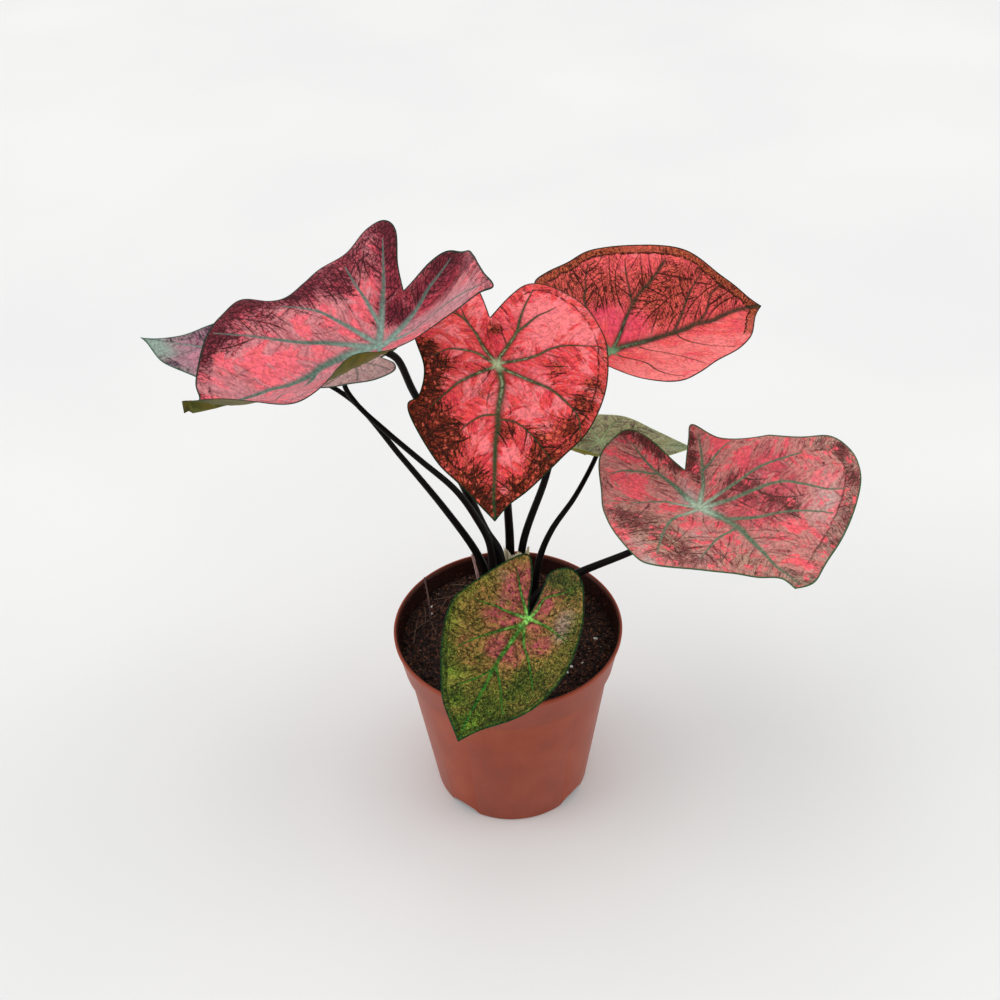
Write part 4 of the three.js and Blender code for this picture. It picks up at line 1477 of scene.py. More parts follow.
# ---------------- crown
@dataclass
class Crown:
    """What stands at the stalks' foot: the papery scale leaf, two dried stubs and the buried tuber."""

    foot: Point = (4.5, 19.0, 98.6)
    top: Point = (6.0, 15.5, 149.0)
    foot_radius: float = 7.3
    top_radius: float = 6.0
    thickness: float = 0.45
    start: float = 175.0  # bearings, in degrees, between which it wraps the stalks
    end: float = 365.0
    tear: float = 2.6  # depth of its torn top edge
    rib: float = 0.16
    buckle: float = 0.4
    rows: int = 46
    columns: int = 96

    def scale_leaf(self) -> Object:
        """Build the papery scale: a thin open cone with a torn top, ribs and a curled edge.

        Returns:
            The scale.
        """
        rows, columns = self.rows, self.columns
        foot, top = np.array(self.foot), np.array(self.top)
        vertices = []
        for skin in (0, 1):
            for row in range(rows + 1):
                for column in range(columns + 1):
                    across = column / columns
                    angle = math.radians(self.start + (self.end - self.start) * across)
                    torn = self.tear * (0.5 + 0.5 * math.sin(across * 12 * 1.7))
                    torn += 1.6 * abs(noise.noise((across * 22, 3.1, 0)))
                    share = row / rows * (1 - torn / (top[2] - foot[2]))
                    rib = self.rib * math.sin(across * 90)
                    rib += self.buckle * noise.noise((across * 5, share * 3, 7.7))
                    flare = 0.5 * share ** 6 * noise.noise((across * 6, 9.1, 2.0))
                    thin = self.thickness * (1 - 0.6 * share) * (skin - 0.5)
                    radius = self.foot_radius + (self.top_radius - self.foot_radius) * share
                    radius += 0.4 + rib * (0.4 + 0.6 * share) + flare + thin
                    centre = foot + (top - foot) * share
                    vertices.append(centre + radius * np.array([math.cos(angle), math.sin(angle), 0]))
        width, layer = columns + 1, (columns + 1) * (rows + 1)
        faces = []
        for row in range(rows):
            for column in range(columns):
                a, b = row * width + column, (row + 1) * width + column
                faces += [(a, b, b + 1, a + 1), (layer + a, layer + a + 1, layer + b + 1, layer + b)]
            a, b = row * width, (row + 1) * width
            faces += [(a, layer + a, layer + b, b),
                      (a + columns, b + columns, layer + b + columns, layer + a + columns)]
        for column in range(columns):
            a, b = column, rows * width + column
            faces += [(a, a + 1, layer + a + 1, layer + a), (b, layer + b, layer + b + 1, b + 1)]
        paper = Flecked("Dried scale leaf, papery with lengthwise fibres", "c4b48c", "fff0d4",
                        (1.4, 1.4, 0.08), 0.7)
        piece = to_object("papery_scale", np.array(vertices), faces, paper.material())
        return settle(piece, "sheath", "crown_sheath")

    def stubs(self) -> None:
        """Build the two dried stubs of old stalks."""
        for number, foot, top, radius, dark, light in (
                (1, (-14.5, 28, 90), (-17.5, 29.5, 131), 1.0, "7c5654", "d0a8a4"),
                (2, (-41.5, 18, 90), (-43, 18, 126), 0.62, "4c3432", "86625e")):
            dry = Flecked(f"Dried leaf stalk, shrivelled, tone {number}", dark, light, (1.5, 1.5, 0.15), 0.75)
            middle = (foot[0], foot[1], (foot[2] + top[2]) / 2)
            path = stem_curve([foot, middle, top], 0.8)
            share = np.linspace(0, 1, len(path))
            wrinkle = 1 + 0.14 * np.sin(share * 47) * np.sin(share * 19 + 1)
            vertices, faces = tube(path, radius * (1 - 0.35 * share) * wrinkle, 12)
            piece = to_object(f"dried_stub_{number}", vertices, faces, dry.material())
            settle(piece, "dried_stalk", f"old_stalk_{number}")

    def build(self) -> None:
        """Build the scale and stubs, and dress the tuber."""
        self.scale_leaf()
        self.stubs()
        cork = Flecked("Tuber skin, corky and brown", "3a261a", "7a5a40", (0.5, 0.5, 0.9), 0.85)
        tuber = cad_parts["tuber"]
        tuber.data.materials.clear()
        tuber.data.materials.append(cork.material())


# ---------------- studio
@dataclass(frozen=True)
class Lamp:
    """Round, soft lamp that is aimed at the plant."""

    name: str
    place: Point
    width: float
    watts: float


@dataclass
class Studio:
    """Plain pale floor, soft light and the camera."""

    eye: Point = (-1.8, -578.4, 645.8)
    tilt_down: float = 38.22
    bank: float = -2.02
    lens: float = 54.0
    sensor: float = 36.0
    floor_size: float = 24000.0
    aim: Point = (0, 0, 150)
    room_strength: float = 0.74
    lamps: tuple[Lamp, ...] = (Lamp("overhead", (0, 300, 3400), 4400, 36),
                               Lamp("left", (-12000, -1600, 5800), 12000, 576),
                               Lamp("right", (12000, -800, 5800), 12000, 512))

    def camera(self) -> None:
        """Set up the camera."""
        pitch, bank = math.radians(self.tilt_down), math.radians(self.bank)
        rise = Vector((0, math.sin(pitch), math.cos(pitch)))
        right = Vector((1, 0, 0)) * math.cos(bank) + rise * math.sin(bank)
        up = rise * math.cos(bank) - Vector((1, 0, 0)) * math.sin(bank)
        back = Vector((0, -math.cos(pitch), math.sin(pitch)))
        data = bpy.data.cameras.new("camera")
        data.lens, data.sensor_width, data.sensor_fit = self.lens, self.sensor, "HORIZONTAL"
        data.clip_start, data.clip_end = 0.01, 20
        camera = bpy.data.objects.new("camera", data)
        camera.matrix_world = (Matrix.Translation(Vector(self.eye) * MM)
                               @ Matrix((right, up, back)).transposed().to_4x4())
        bpy.context.scene.collection.objects.link(camera)
        bpy.context.scene.camera = camera

    def floor(self) -> None:
        """Lay a pale, matt paper floor with the faintest mottling."""
        half = self.floor_size / 2
        corners = [(-half, -half, 0), (half, -half, 0), (half, half, 0), (-half, half, 0)]
        material, tree, shader = new_material("Backdrop paper, matt and pale grey", 0.9, 1.4)
        place = add(tree, "TexCoord", out="Object")
        cloud = add(tree, "TexNoise", {"Vector": place, "Scale": 3.0, "Detail": 2.0})
        add(tree, "ValToRGB", {"Fac": cloud}, stops=((0.3, "e6e6e6"), (0.7, "ededec")),
            into=shader.inputs["Base Color"])
        to_object("floor", np.array(corners), [(0, 1, 2, 3)], material)

    def lights(self) -> None:
        """Hang a large soft lamp overhead and one on each side, in a pale room."""
        world = bpy.data.worlds.new("room")
        world.use_nodes = True
        colour, strength = world.node_tree.nodes["Background"].inputs[:2]
        colour.default_value, strength.default_value = linear("f4f4f4"), self.room_strength
        bpy.context.scene.world = world
        for lamp in self.lamps:
            data = bpy.data.lights.new(lamp.name, "AREA")
            data.shape, data.size, data.energy = "DISK", lamp.width * MM, lamp.watts
            light = bpy.data.objects.new(lamp.name, data)
            light.location = Vector(lamp.place) * MM
            aim = Vector(self.aim) * MM - light.location
            light.rotation_euler = aim.to_track_quat("-Z", "Y").to_euler()
            bpy.context.scene.collection.objects.link(light)
        bpy.context.scene.view_settings.view_transform = "Standard"

    def build(self) -> None:
        """Set everything up."""
        self.camera()
        self.floor()
        self.lights()


# ---------------- the plant's own leaves
# Each skin's dust colour is painted sheen, laid where its leaf's dust patches lie.
ROSE = LivingSkin(
    "dusty rose", body="d48488", light="fa6c78", deep="86283a", net="3a1218", vein="4f7564", core="8aa79a",
    band="8c5460", margin="1a342a", dust="bc868c", flush="b43044", halo=0.5, halo_tint="8c7880",
    hub_reach=26.0, depth=0.2, blotch_width=6.5, blotch_length=17.0, blotch_level=0.555, blotch_edge=0.04,
    net_width=2.0, net_length=2.4, net_strength=0.85, vein_edge=3.0, shade_depth=1.05, streaks=1.1,
    clouds=0.8, darkest_strength=0.35, band_width=5.0, band_strength=0.15, band_line=0.3)
PALE_ROSE = LivingSkin(
    "pale rose", body="a67e88", light="c88494", deep="644056", net="3c2a3a", vein="7c8a82", core="9fb0a4",
    band="7f8a7c", margin="3f6050", green="7ea292", flush="b24868", depth=0.25, band_width=3.0,
    ruddiness=0.6, gloss=0.14)
# The pale rose skin again, painted lighter and less netted for the lower-left leaf, which lies in the
# upper-left leaf's shadow: painted light.
LILAC_ROSE_PAINTED_LIGHTER = replace(
    PALE_ROSE, colouring="lilac rose", body="f2c0be", light="fad0d0", deep="b88c94", net="8c7078",
    vein="a4928e", flush="cc8088", depth=0.1, ruddiness=0.3)
CORAL_NET = LivingSkin(
    "netted coral", body="f04e50", light="fc8084", deep="8a3410", net="2a0e04", vein="1e4a2a", core="b4be92",
    band="9a3c20", margin="0c240e", flush="d02c3c", hub_reach=5.0, depth=0.14, shade_depth=1.1,
    blotch_level=0.55, blotch_edge=0.06, net_reach=0.095, fleck="e8624e", fleck_cell=3.0, fleck_strength=0.8,
    darkest_strength=0.5, band_width=4.4, band_depth=0.15, band_start=34.0, ruddiness=0.7, band_line=0.85)
CORAL = LivingSkin(
    "bright coral", body="f2605e", light="fa8280", deep="b65230", net="3a1206", vein="12321f", core="6f9a70",
    band="b05a34", margin="0a180a", flush="e44462", hub_reach=6.0, depth=0.1, shade_depth=0.72, streaks=1.0,
    clouds=0.5, net_reach=0.08, deep_strength=0.6, darkest_strength=0.1, halo=0.25, band_width=3.8,
    band_strength=0.8, band_line=1.0, band_start=26.0, ruddiness=0.6)
DUSTY = LivingSkin(
    "dusty pink", body="c8847c", light="f45c68", deep="8e2e38", net="54302c", vein="50765a", core="b4c8b0",
    band="a08a7a", margin="3a5a3a", dust="b8aaa4", flush="c64a58", halo=0.5, halo_tint="8c7468",
    hub_reach=16.0, depth=0.26, shade_depth=1.25, blotch_level=0.58, blotch_edge=0.04, vein_edge=3.0,
    net_width=1.3, fleck_cell=6.0, fleck_strength=0.9, fleck_from=-0.2, darkest_strength=0.25,
    band_width=6.5, band_strength=0.6, band_depth=0.2, band_start=52.0, ruddiness=0.5, gloss=0.12)
GREY_GREEN = LivingSkin(
    "grey green", body="b4b082", light="cac69c", deep="8e7a6e", net="604a44", vein="9cb47c", core="bccb98",
    band="98a47a", margin="9fae70", flush="8c6c62", depth=0.26, band_width=2.6, ruddiness=0.6)
BRONZE = LivingSkin(
    "bronze green", body="a47e42", light="b48a4e", deep="586a24", net="22320c", vein="2c7a26", core="96d868",
    band="5f8a2c", margin="123c18", dust="a48c80", green="74a02e", flush="b24c54", hub_reach=8.0,
    margin_width=0.75, band_width=2.4, net_width=1.0, net_length=1.6, fine_cell=1.1, island=1.1,
    hue_spread=0.025, flush_clears=0.3, depth=0.52, streaks=0.6, clouds=0.9, grain=0.65, twig_strength=0.6,
    ruddiness=0.0)
OLIVE_BACK = LivingUnderside("olive", "484c12", "6c5c1a", "6c7030")
GOLDEN_BACK = LivingUnderside("yellow olive", "8a8020", "7a6c24", "98935a")
PINK_BACK = LivingUnderside("pale rose", "8a6a62", "9c747a", "93997a")

# Outlines and veins are (u, v) points in millimetres, and a wash's patches are (u, v, reach, amount).
LEAVES: tuple[Leaf, ...] = (
    Leaf(
        "upper_left",
        BladeForm((-51, -15, 291.3), 216, 7, 3, 95.3, (-23, -13),
                  ((90, 6), (83, 20), (74, 35), (65, 42), (53, 40), (41, 37), (29, 34), (16, 30), (4, 28),
                   (-6, 28), (-14, 31), (-21, 36), (-28, 42), (-32, 49), (-36, 37), (-40, 27), (-44, 18),
                   (-48, 6), (-46, -5), (-37, -11)),
                  ((86, 5), (82, 13), (66, 30), (53, 39), (40, 45), (30, 39), (22, 38), (10, 42), (-2, 46),
                   (-15, 45), (-27, 46), (-35, 41), (-36, 32), (-28, 22)),
                  fold=0.95, tip_bend=2, back_bend=11, cup=-8, twist=-1,
                  curls=(Curl(1, 32, 16, 9), Curl(1, 90, 14, 7))),
        StalkForm((-3.5, 10), 3, 1.7,
                  ((-3.2, 9.4, 148), (-9.6, 9.6, 163), (-19, 7, 193.5), (-29, 0, 227), (-40, -7.5, 262),
                   (-45.5, -12, 282))),
        ROSE, OLIVE_BACK, "leaf_rose",
        (Vein(((0, 0), (4, -2), (15, -4), (28, -4), (37, -2), (47, -1), (57, -2), (70, -1), (92, 0)), 1.0),
         Vein(((0, -3), (-6, -9), (-12, -15), (-18, -21), (-24, -28), (-30, -35)), 0.7),
         Vein(((-5, -8), (-7, -19), (-8, -29), (-10, -39)), 0.5),
         Vein(((1, -3), (6, -12), (11, -20), (14, -25), (20, -30), (27, -34))),
         Vein(((3, -2), (18, -11), (30, -16), (42, -22), (50, -26), (62, -31))),
         Vein(((0, 0), (-9, -2), (-18, -3), (-25, -4), (-32, -5), (-44, -3)), 0.7),
         Vein(((-4, -1), (-12, 6), (-20, 15), (-26, 25), (-31, 38)), 0.5),
         Vein(((2, 0), (6, 8), (9, 17), (12, 26)), 0.5), Vein(((14, -3), (25, 8), (36, 18), (45, 30)), 0.5),
         Vein(((34, -2), (46, 8), (58, 18), (68, 32)), 0.45)),
        washes={
            Wash.FLUSH: (
                (-32, -33, 8.8, 0.92), (-22, -20, 8.8, 0.92), (-12, -12, 6.6, 0.69), (-42, -2, 8.8, 1),
                (-28, -6, 7.7, 1), (-16, -5, 6.6, 0.69), (-10, -38, 9.9, 0.69), (10, -38, 9.9, 0.69),
                (46, -40, 11, 0.69), (66, -28, 9.9, 0.69), (-38, 8, 7, 0.7), (-26, 2, 6, 0.5)),
            Wash.SHADE: (
                (-32, -33, 6.7, 0.77), (-28, -25, 5, 0.77), (-21, -18, 5, 0.77), (-13, -10, 5, 0.77),
                (-20, -32, 6.7, 0.34), (-14, -39, 6.7, 0.46), (-46, -1, 6.7, 0.77), (-36, -5, 6.7, 0.69),
                (-26, -7, 5, 0.69), (-16, -5, 5, 0.69), (-3, -37, 6.7, 0.53), (8, -39, 8.4, 0.46),
                (22, -37, 6.7, 0.46), (35, -42, 8.4, 0.53), (49, -40, 8.4, 0.77), (62, -31, 6.7, 0.69),
                (73, -20, 5, 0.53), (39, -30, 8.4, 0.31), (55, -23, 6.7, 0.27), (-4, -28, 6.7, 0.31),
                (65, -25, 6.7, 0.38), (-38, -38, 7, 0.54), (-30, 10, 6, 0.45), (-40, 12, 6, 0.45),
                (0, -30, 7, 0.36), (16, -36, 7, 0.45)),
            Wash.LIGHT: (
                (10, -24, 4.8, 0.7), (-4, -22, 4.8, 0.8), (-13, -24, 3.6, 0.5), (41, -11, 6, 1),
                (54, -15, 6, 1), (67, -18, 4.8, 0.7), (25, -11, 3.6, 0.6), (26, -23, 4.8, 0.5),
                (52, -3, 4.8, 0.5), (7, -14, 3.6, 0.7), (46, -35, 3.6, 0.3)),
            Wash.PAINTED_SHEEN: (
                (-28, 34, 6, 1), (-24, 26, 7.2, 1), (-19, 18, 8.4, 1), (-17, 7, 7.2, 1), (-12, 3, 6, 0.9),
                (-6, -1, 3.6, 0.8), (77, -10, 4.8, 0.5), (68, -5, 4.8, 0.5), (34, 10, 18, 0.8),
                (19, 2, 8.4, 0.5), (58, 34, 8.4, 0.5), (64, 12, 14, 0.6), (2, -6, 4.8, 0.4),
                (22, -36, 4.8, 0.4), (7, -35, 4.8, 0.4), (80, 6, 8, 0.5))},
        seed=3, vein_scale=1.4),
    Leaf(
        "far_left",
        BladeForm((-115.6, 34, 258.1), 168, -4, -18, 59.4, (-14, 0),
                  ((55, 3), (45, 13), (37, 17), (25, 21), (8, 27), (-10, 28), (-25, 23), (-31, 13),
                   (-27, 5)),
                  ((51, 1), (39, 5), (28, 12), (14, 20), (0, 26), (-16, 25), (-28, 16), (-30, 7)),
                  fold=0.25, back_bend=4),
        StalkForm((-10.5, 14), 2.6, 1.1,
                  ((-10.5, 14, 130), (-15, 14, 145.5), (-29, 15, 172.5), (-50, 19, 205), (-72, 25, 235.5),
                   (-97, 31, 250))),
        PALE_ROSE, PINK_BACK, "leaf_pale",
        washes={
            Wash.GREEN: ((56, 2, 10, 1), (44, 8, 8, 0.7), (30, 20, 6, 0.5), (36, -12, 6, 0.5)),
            Wash.LIGHT: ((14, 6, 10, 0.6), (56, 2, 9, 1), (46, 6, 7, 0.6)),
            Wash.SHADE: ((24, -10, 8, 0.7), (8, -20, 8, 0.7))},
        seed=5),
    Leaf(
        "lower_left",
        BladeForm((-69, 10, 268), 175, 6, -5, 48, (-15, 0),
                  ((36, 10), (22, 19), (8, 23), (-4, 21), (-15, 20), (-23, 15), (-22, 7)),
                  ((36, 10), (22, 19), (8, 24), (-6, 25), (-18, 20), (-25, 12), (-22, 5)),
                  fold=0.2, back_bend=3),
        StalkForm((-9.5, 6.5), 2.6, 1.2,
                  ((-7.5, 4, 157), (-14, 1.5, 178.5), (-23.5, -1, 198.5), (-39.5, -2.5, 218.5),
                   (-55, -1, 235.5), (-67.5, 3, 248.5), (-72.5, 6.5, 258))),
        LILAC_ROSE_PAINTED_LIGHTER, PINK_BACK, "leaf_pale",
        seed=7),
    Leaf(
        "centre",
        BladeForm((-0.6, -6, 273.3), -91, 26, -11, 72, (-26, -3),
                  ((65, 6), (58, 15), (44, 29), (31, 41), (12, 49), (-8, 51), (-21, 49), (-37, 41),
                   (-47, 27), (-48, 16), (-40, 7)),
                  ((59, 15), (49, 27), (33, 38), (24, 41), (19, 36), (6, 34), (-8, 38), (-22, 42), (-36, 40),
                   (-46, 30), (-49, 19), (-44, 9)),
                  fold=0.08, tip_bend=-2.7, back_bend=-2, twist=0.4),
        StalkForm((1, 18), 2.9, 1.6, ((2.5, 16, 148), (2, 12, 175), (1, 5, 220))),
        CORAL_NET, OLIVE_BACK, "leaf_coral",
        (Vein(((0, 0), (4, 1), (10, 2), (17, 1), (24, 0), (31, 0), (38, -1), (53, -1), (62, -1), (71, 0)),
              0.95, 0.35),
         Vein(((0, 0), (-4, 1), (-9, 4), (-18, 9), (-26, 11), (-35, 14), (-44, 18)), 0.65),
         Vein(((-18, 9), (-23, 14), (-28, 19), (-31, 24), (-34, 28)), 0.4),
         Vein(((-1, 1), (-3, 10), (-6, 18), (-10, 25), (-12, 33), (-12, 47)), 0.5),
         Vein(((1, 0), (5, 9), (8, 16), (11, 23), (16, 29), (25, 36), (36, 37))),
         Vein(((0, 0), (-8, -6), (-16, -10), (-22, -14), (-30, -17)), 0.65),
         Vein(((-22, -14), (-25, -18), (-27, -26)), 0.4),
         Vein(((0, -1), (-5, -9), (-6, -14), (-6, -20), (-5, -24), (-1, -30)), 0.45),
         Vein(((1, -1), (4, -7), (7, -12), (11, -18), (16, -23), (25, -31)), 0.55),
         Vein(((25, 0), (26, -7), (30, -13), (34, -17)), 0.3),
         Vein(((27, 0), (28, 7), (31, 12), (36, 17), (45, 24)), 0.3)),
        washes={
            Wash.FLUSH: (
                (-14, -3, 9, 0.8), (-24, 8, 8, 0.6), (4, -22, 8, 0.5), (2, 10, 9, 0.6), (-4, 26, 8, 0.5)),
            Wash.SHADE: (
                (-6, -33, 5, 1), (4, -29, 6.7, 1), (13, -34, 6.7, 1), (25, -35, 6.7, 1), (30, -27, 6.7, 0.8),
                (35, -19, 6.7, 0.6), (43, -24, 6.7, 0.9), (54, -12, 6.7, 0.9), (66, -3, 5, 0.9),
                (58, 10, 5, 0.8), (45, 21, 6.7, 0.8), (31, 32, 6.7, 0.8), (19, 38, 5, 0.8), (9, 43, 5, 0.6),
                (35, 17, 6.7, 0.55), (0, 27, 5, 0.45), (-19, -1, 3.4, 0.8), (4, -32, 5, 0.8),
                (16, -8, 5, 0.45), (32, 3, 5, 0.4), (33, -33, 6.7, 0.8), (16, -30, 5, 0.6), (62, -9, 6, 0.8),
                (60, 4, 5, 0.6), (50, 17, 6, 0.6), (38, -29, 6, 0.8), (68, 0, 5, 0.8)),
            Wash.LIGHT: (
                (-29, 18, 9.2, 1), (-27, 31, 7.9, 1), (-18, 41, 5.3, 0.8), (-15, 20, 6.6, 0.7),
                (-16, -22, 5.3, 0.7), (17, -12, 5.3, 0.5), (24, -6, 2.6, 0.8), (39, -7, 2.6, 1),
                (43, 6, 4, 1), (24, 14, 4, 0.8), (10, 10, 5.3, 0.7), (17, 28, 4, 0.5), (59, 5, 2.6, 0.9),
                (-6, -17, 4, 0.5), (9, 21, 4, 0.6), (0, 16, 5, 0.5), (14, 3, 3, 0.4), (34, -12, 3, 0.5))},
        seed=11, vein_scale=1.6),
    Leaf(
        "upper_right",
        BladeForm((56.4, 52, 240.9), 27, 4, 15, 89.6, (-20, 0),
                  ((81, 10), (72, 19), (58, 33), (42, 40), (27, 44), (8, 47), (-7, 44), (-21, 39), (-34, 30),
                   (-39, 19), (-35, 8)),
                  ((82, 6), (67, 22), (52, 31), (36, 36), (20, 43), (5, 47), (-10, 41), (-21, 35), (-28, 26),
                   (-30, 14), (-26, 6)),
                  fold=0.8, tip_bend=0.8, back_bend=14, cup=-4, twist=2),
        StalkForm((8, 16.5), 2.4, 1.6, ((9, 16, 147), (21, 21, 185), (29, 27, 211), (44, 42, 228))),
        CORAL, OLIVE_BACK, "leaf_coral",
        (Vein(((0, 0), (7, 1), (16, 1), (25, 1), (42, 1), (51, 2), (60, 1), (69, 2), (78, 2), (89, 0)), 0.95,
              0.45),
         Vein(((0, 0), (9, 8), (14, 13), (20, 18), (26, 22), (33, 25), (45, 32)), 0.6, 0.3),
         Vein(((0, 0), (-4, 14), (-5, 25), (-2, 30), (0, 35), (4, 41))),
         Vein(((20, 18), (21, 25), (22, 32), (24, 38)), 0.4),
         Vein(((37, 1), (44, 7), (50, 13), (56, 18), (63, 22)), 0.45),
         Vein(((52, 2), (59, 6), (64, 12), (72, 15)), 0.4),
         Vein(((0, 0), (5, -19), (3, -31), (4, -38), (10, -44)), 0.28, 0.14),
         Vein(((38, 1), (40, -12), (44, -21), (52, -28)), 0.22, 0.12),
         Vein(((0, 0), (-12, 6), (-22, 14), (-32, 22))), Vein(((0, 0), (-12, -8), (-22, -20)), 0.5),
         Vein(((14, 1), (20, -12), (24, -24), (28, -36)), 0.2, 0.12)),
        washes={
            Wash.FLUSH: ((8, 10, 9, 0.9), (2, 18, 7, 0.8), (16, 8, 7, 0.6), (24, 8, 6, 0.4)),
            Wash.SHADE: (
                (-8, 38, 9.2, 0.68), (5, 39, 7.4, 0.46), (-6, 28, 7.4, 0.68), (3, 24, 7.4, 0.68),
                (11, 25, 5.5, 0.68), (19, 27, 5.5, 0.46), (29, 29, 7.4, 0.46), (32, 22, 7.4, 0.76),
                (36, 17, 7.4, 0.76), (39, 11, 7.4, 0.76), (50, 22, 7.4, 0.61), (62, 23, 7.4, 0.61),
                (68, 15, 7.4, 0.61), (77, 9, 7.4, 0.61), (85, 2, 5.5, 0.76), (52, 13, 7.4, 0.53),
                (30, 9, 5.5, 0.46), (54, 4, 5.5, 0.46), (18, 18, 5.5, 0.46), (48, 30, 7.4, 0.38),
                (16, 41, 7.4, 0.3), (44, 26, 6.6, 0.38), (12, 34, 7.7, 0.47), (24, 16, 6.6, 0.38),
                (42, 16, 6.6, 0.38), (66, 8, 6.6, 0.47), (-22, 34, 8, 0.7), (-28, 24, 7, 0.6),
                (-14, 30, 7, 0.5), (-20, 20, 6, 0.4)),
            Wash.LIGHT: (
                (12, 38, 3.6, 0.4), (22, 33, 2.4, 0.3), (8, 14, 4.8, 0.9), (14, 10, 3.6, 0.9),
                (1, 15, 3.6, 0.8), (-2, -25, 10.8, 1), (21, -18, 9.6, 1), (40, -16, 8.4, 1),
                (50, -16, 7.2, 0.8), (18, -7, 7.2, 0.8), (17, -39, 7.2, 0.8), (74, 12, 2.4, 0.4),
                (4, -42, 9, 1), (32, -36, 8, 1), (46, -30, 8, 1), (60, -22, 6, 0.8), (-10, -34, 8, 0.8))},
        seed=13, vein_scale=1.9),
    Leaf(
        "right",
        BladeForm((91, -26, 202), -64, -10, 8, 75.5, (-24, 10),
                  ((77.2, 5), (76, 11), (69, 22), (58, 42.8), (46, 60.5), (38, 66.5), (30, 67.5), (21, 64),
                   (12, 54), (-4, 42), (-22, 31), (-38, 26), (-34, 20)),
                  ((67, 1), (60, 8), (51, 15.5), (40, 29), (32, 43), (26, 48), (10, 49), (-5, 45), (-21, 37),
                   (-44, 24), (-55, 9), (-57, -1), (-47, -7)),
                  fold=0.45, fade=0.9, tip_bend=-1, back_bend=6, cup=1),
        StalkForm((10, 4.5), 2.8, 1.5,
                  ((12, 4, 115), (20, 3, 129), (39, -3, 145), (62.5, -11, 163.5), (79, -18, 179.5))),
        DUSTY, OLIVE_BACK, "leaf_rose",
        (Vein(((0, 1), (7, 2), (17, 4), (27, 5), (39, 4), (51, 3), (60, 2), (68, 3), (75, 3)), 0.9),
         Vein(((0, 1), (-4, 5), (-10, 11), (-16, 15), (-23, 20), (-32, 25)), 0.65),
         Vein(((-16, 15), (-16, 20), (-17, 27), (-16, 32)), 0.4),
         Vein(((0, 1), (3, 14), (5, 21), (7, 29), (10, 36), (18, 50)), 0.55),
         Vein(((2, 2), (10, 13), (14, 21), (18, 29), (23, 36), (30, 41), (38, 47), (43, 54)), 0.55),
         Vein(((17, 4), (28, 14), (33, 22), (40, 32), (49, 42)), 0.45),
         Vein(((0, 1), (-9, 1), (-21, 1), (-32, -1), (-42, -2), (-52, -2)), 0.7),
         Vein(((-31, -1), (-35, -10), (-36, -18), (-34, -24)), 0.4),
         Vein(((0, 1), (-10, -8), (-12, -17), (-12, -25), (-14, -36)), 0.5),
         Vein(((1, 1), (4, -14), (12, -24), (19, -31), (27, -38)), 0.5),
         Vein(((26, 5), (27, -6), (32, -15), (36, -22)), 0.4)),
        washes={
            Wash.FLUSH: (
                (10, 20, 13, 0.8), (25, 34, 12, 0.6), (8, 34, 10, 0.6), (-24, 12, 8, 0.6), (-20, 28, 6, 0.5),
                (30, 20, 10, 0.5), (-30, -20, 8, 0.4), (12, 8, 8, 0.6), (26, 12, 9, 0.5), (18, 26, 10, 0.5)),
            Wash.SHADE: (
                (-56, -1, 3.6, 1), (-50, 5, 3.6, 0.9), (-40, 8, 3.6, 0.9), (-28, 10, 3.6, 0.9),
                (-33, 21, 2.4, 1), (-26, 15, 3.6, 0.9), (0, -37, 6, 0.45), (15, -53, 4.8, 0.5),
                (-30, -27, 6, 0.2), (14, 22, 6, 0.6), (3, 21, 4.8, 0.6), (35, 29, 4.8, 0.7),
                (-14, 12, 3.6, 0.4), (25, 25, 4.8, 0.5), (29, 64, 3.6, 0.8), (42, 60, 3.6, 0.5),
                (55, 45, 3.6, 0.3), (63, 33, 3.6, 0.3), (5, 10, 3.6, 0.5), (7, -36, 4.8, 0.25),
                (-44, 6, 4, 0.8), (-34, 9, 4, 0.8), (-20, 13, 3.6, 0.6), (14, -20, 10, 0.22),
                (28, -28, 10, 0.22), (42, -16, 8, 0.2), (4, -34, 9, 0.2), (22, -32, 8, 0.2),
                (34, -24, 8, 0.2)),
            Wash.LIGHT: (
                (-20, 28, 4.8, 1), (-3, 29, 6, 0.8), (-28, -15, 6, 0.9), (-31, -22, 4.8, 0.8),
                (-42, 2, 3.6, 0.4), (11, 36, 4.8, 0.5), (-3, -12, 4.8, 0.9), (13, -13, 4.8, 0.7),
                (33, 48, 4.8, 0.5), (61, 11, 3.6, 0.8), (68, 13, 3.6, 0.8), (24, -33, 2.4, 0.8),
                (27, -2, 3.6, 0.5), (48, 24, 4.8, 0.4), (44, 38, 4.8, 0.5), (-22, -22, 6, 0.5),
                (-40, -6, 5, 0.4)),
            Wash.PAINTED_SHEEN: (
                (-8, 1, 4.8, 0.9), (5, 1, 4.8, 0.9), (13, 3, 3.6, 0.6), (-20, 6, 3.6, 0.4),
                (-14, 3, 3.6, 0.6), (37, -22, 6, 0.4), (30, -44, 3.6, 0.8), (20, -42, 4.8, 0.5),
                (43, 5, 6, 0.3), (13, 28, 4.8, 0.3), (43, 45, 4.8, 0.3), (-13, -9, 4.8, 0.3),
                (46, 38, 10, 0.45), (36, 50, 8, 0.4), (20, -14, 8, 0.4)),
            Wash.GREEN: (
                (70, 2, 3.6, 0.52), (75, 6, 3.6, 0.68), (75, 13, 3.6, 0.45), (-28, -2, 3.6, 0.38),
                (-25, 5, 2.4, 0.38), (-32, -7, 3.6, 0.38), (68, 24, 3.6, 0.3), (44, -4, 6, 0.22),
                (-36, -8, 3.6, 0.3), (14, -22, 10, 0.3), (28, -28, 10, 0.34), (42, -14, 8, 0.3),
                (8, -38, 9, 0.34), (-8, -32, 7, 0.3), (-24, -26, 6, 0.22), (20, -34, 8, 0.3),
                (52, -6, 8, 0.3), (2, -24, 8, 0.26), (58, 4, 8, 0.22))},
        seed=17, vein_scale=1.5),
    Leaf(
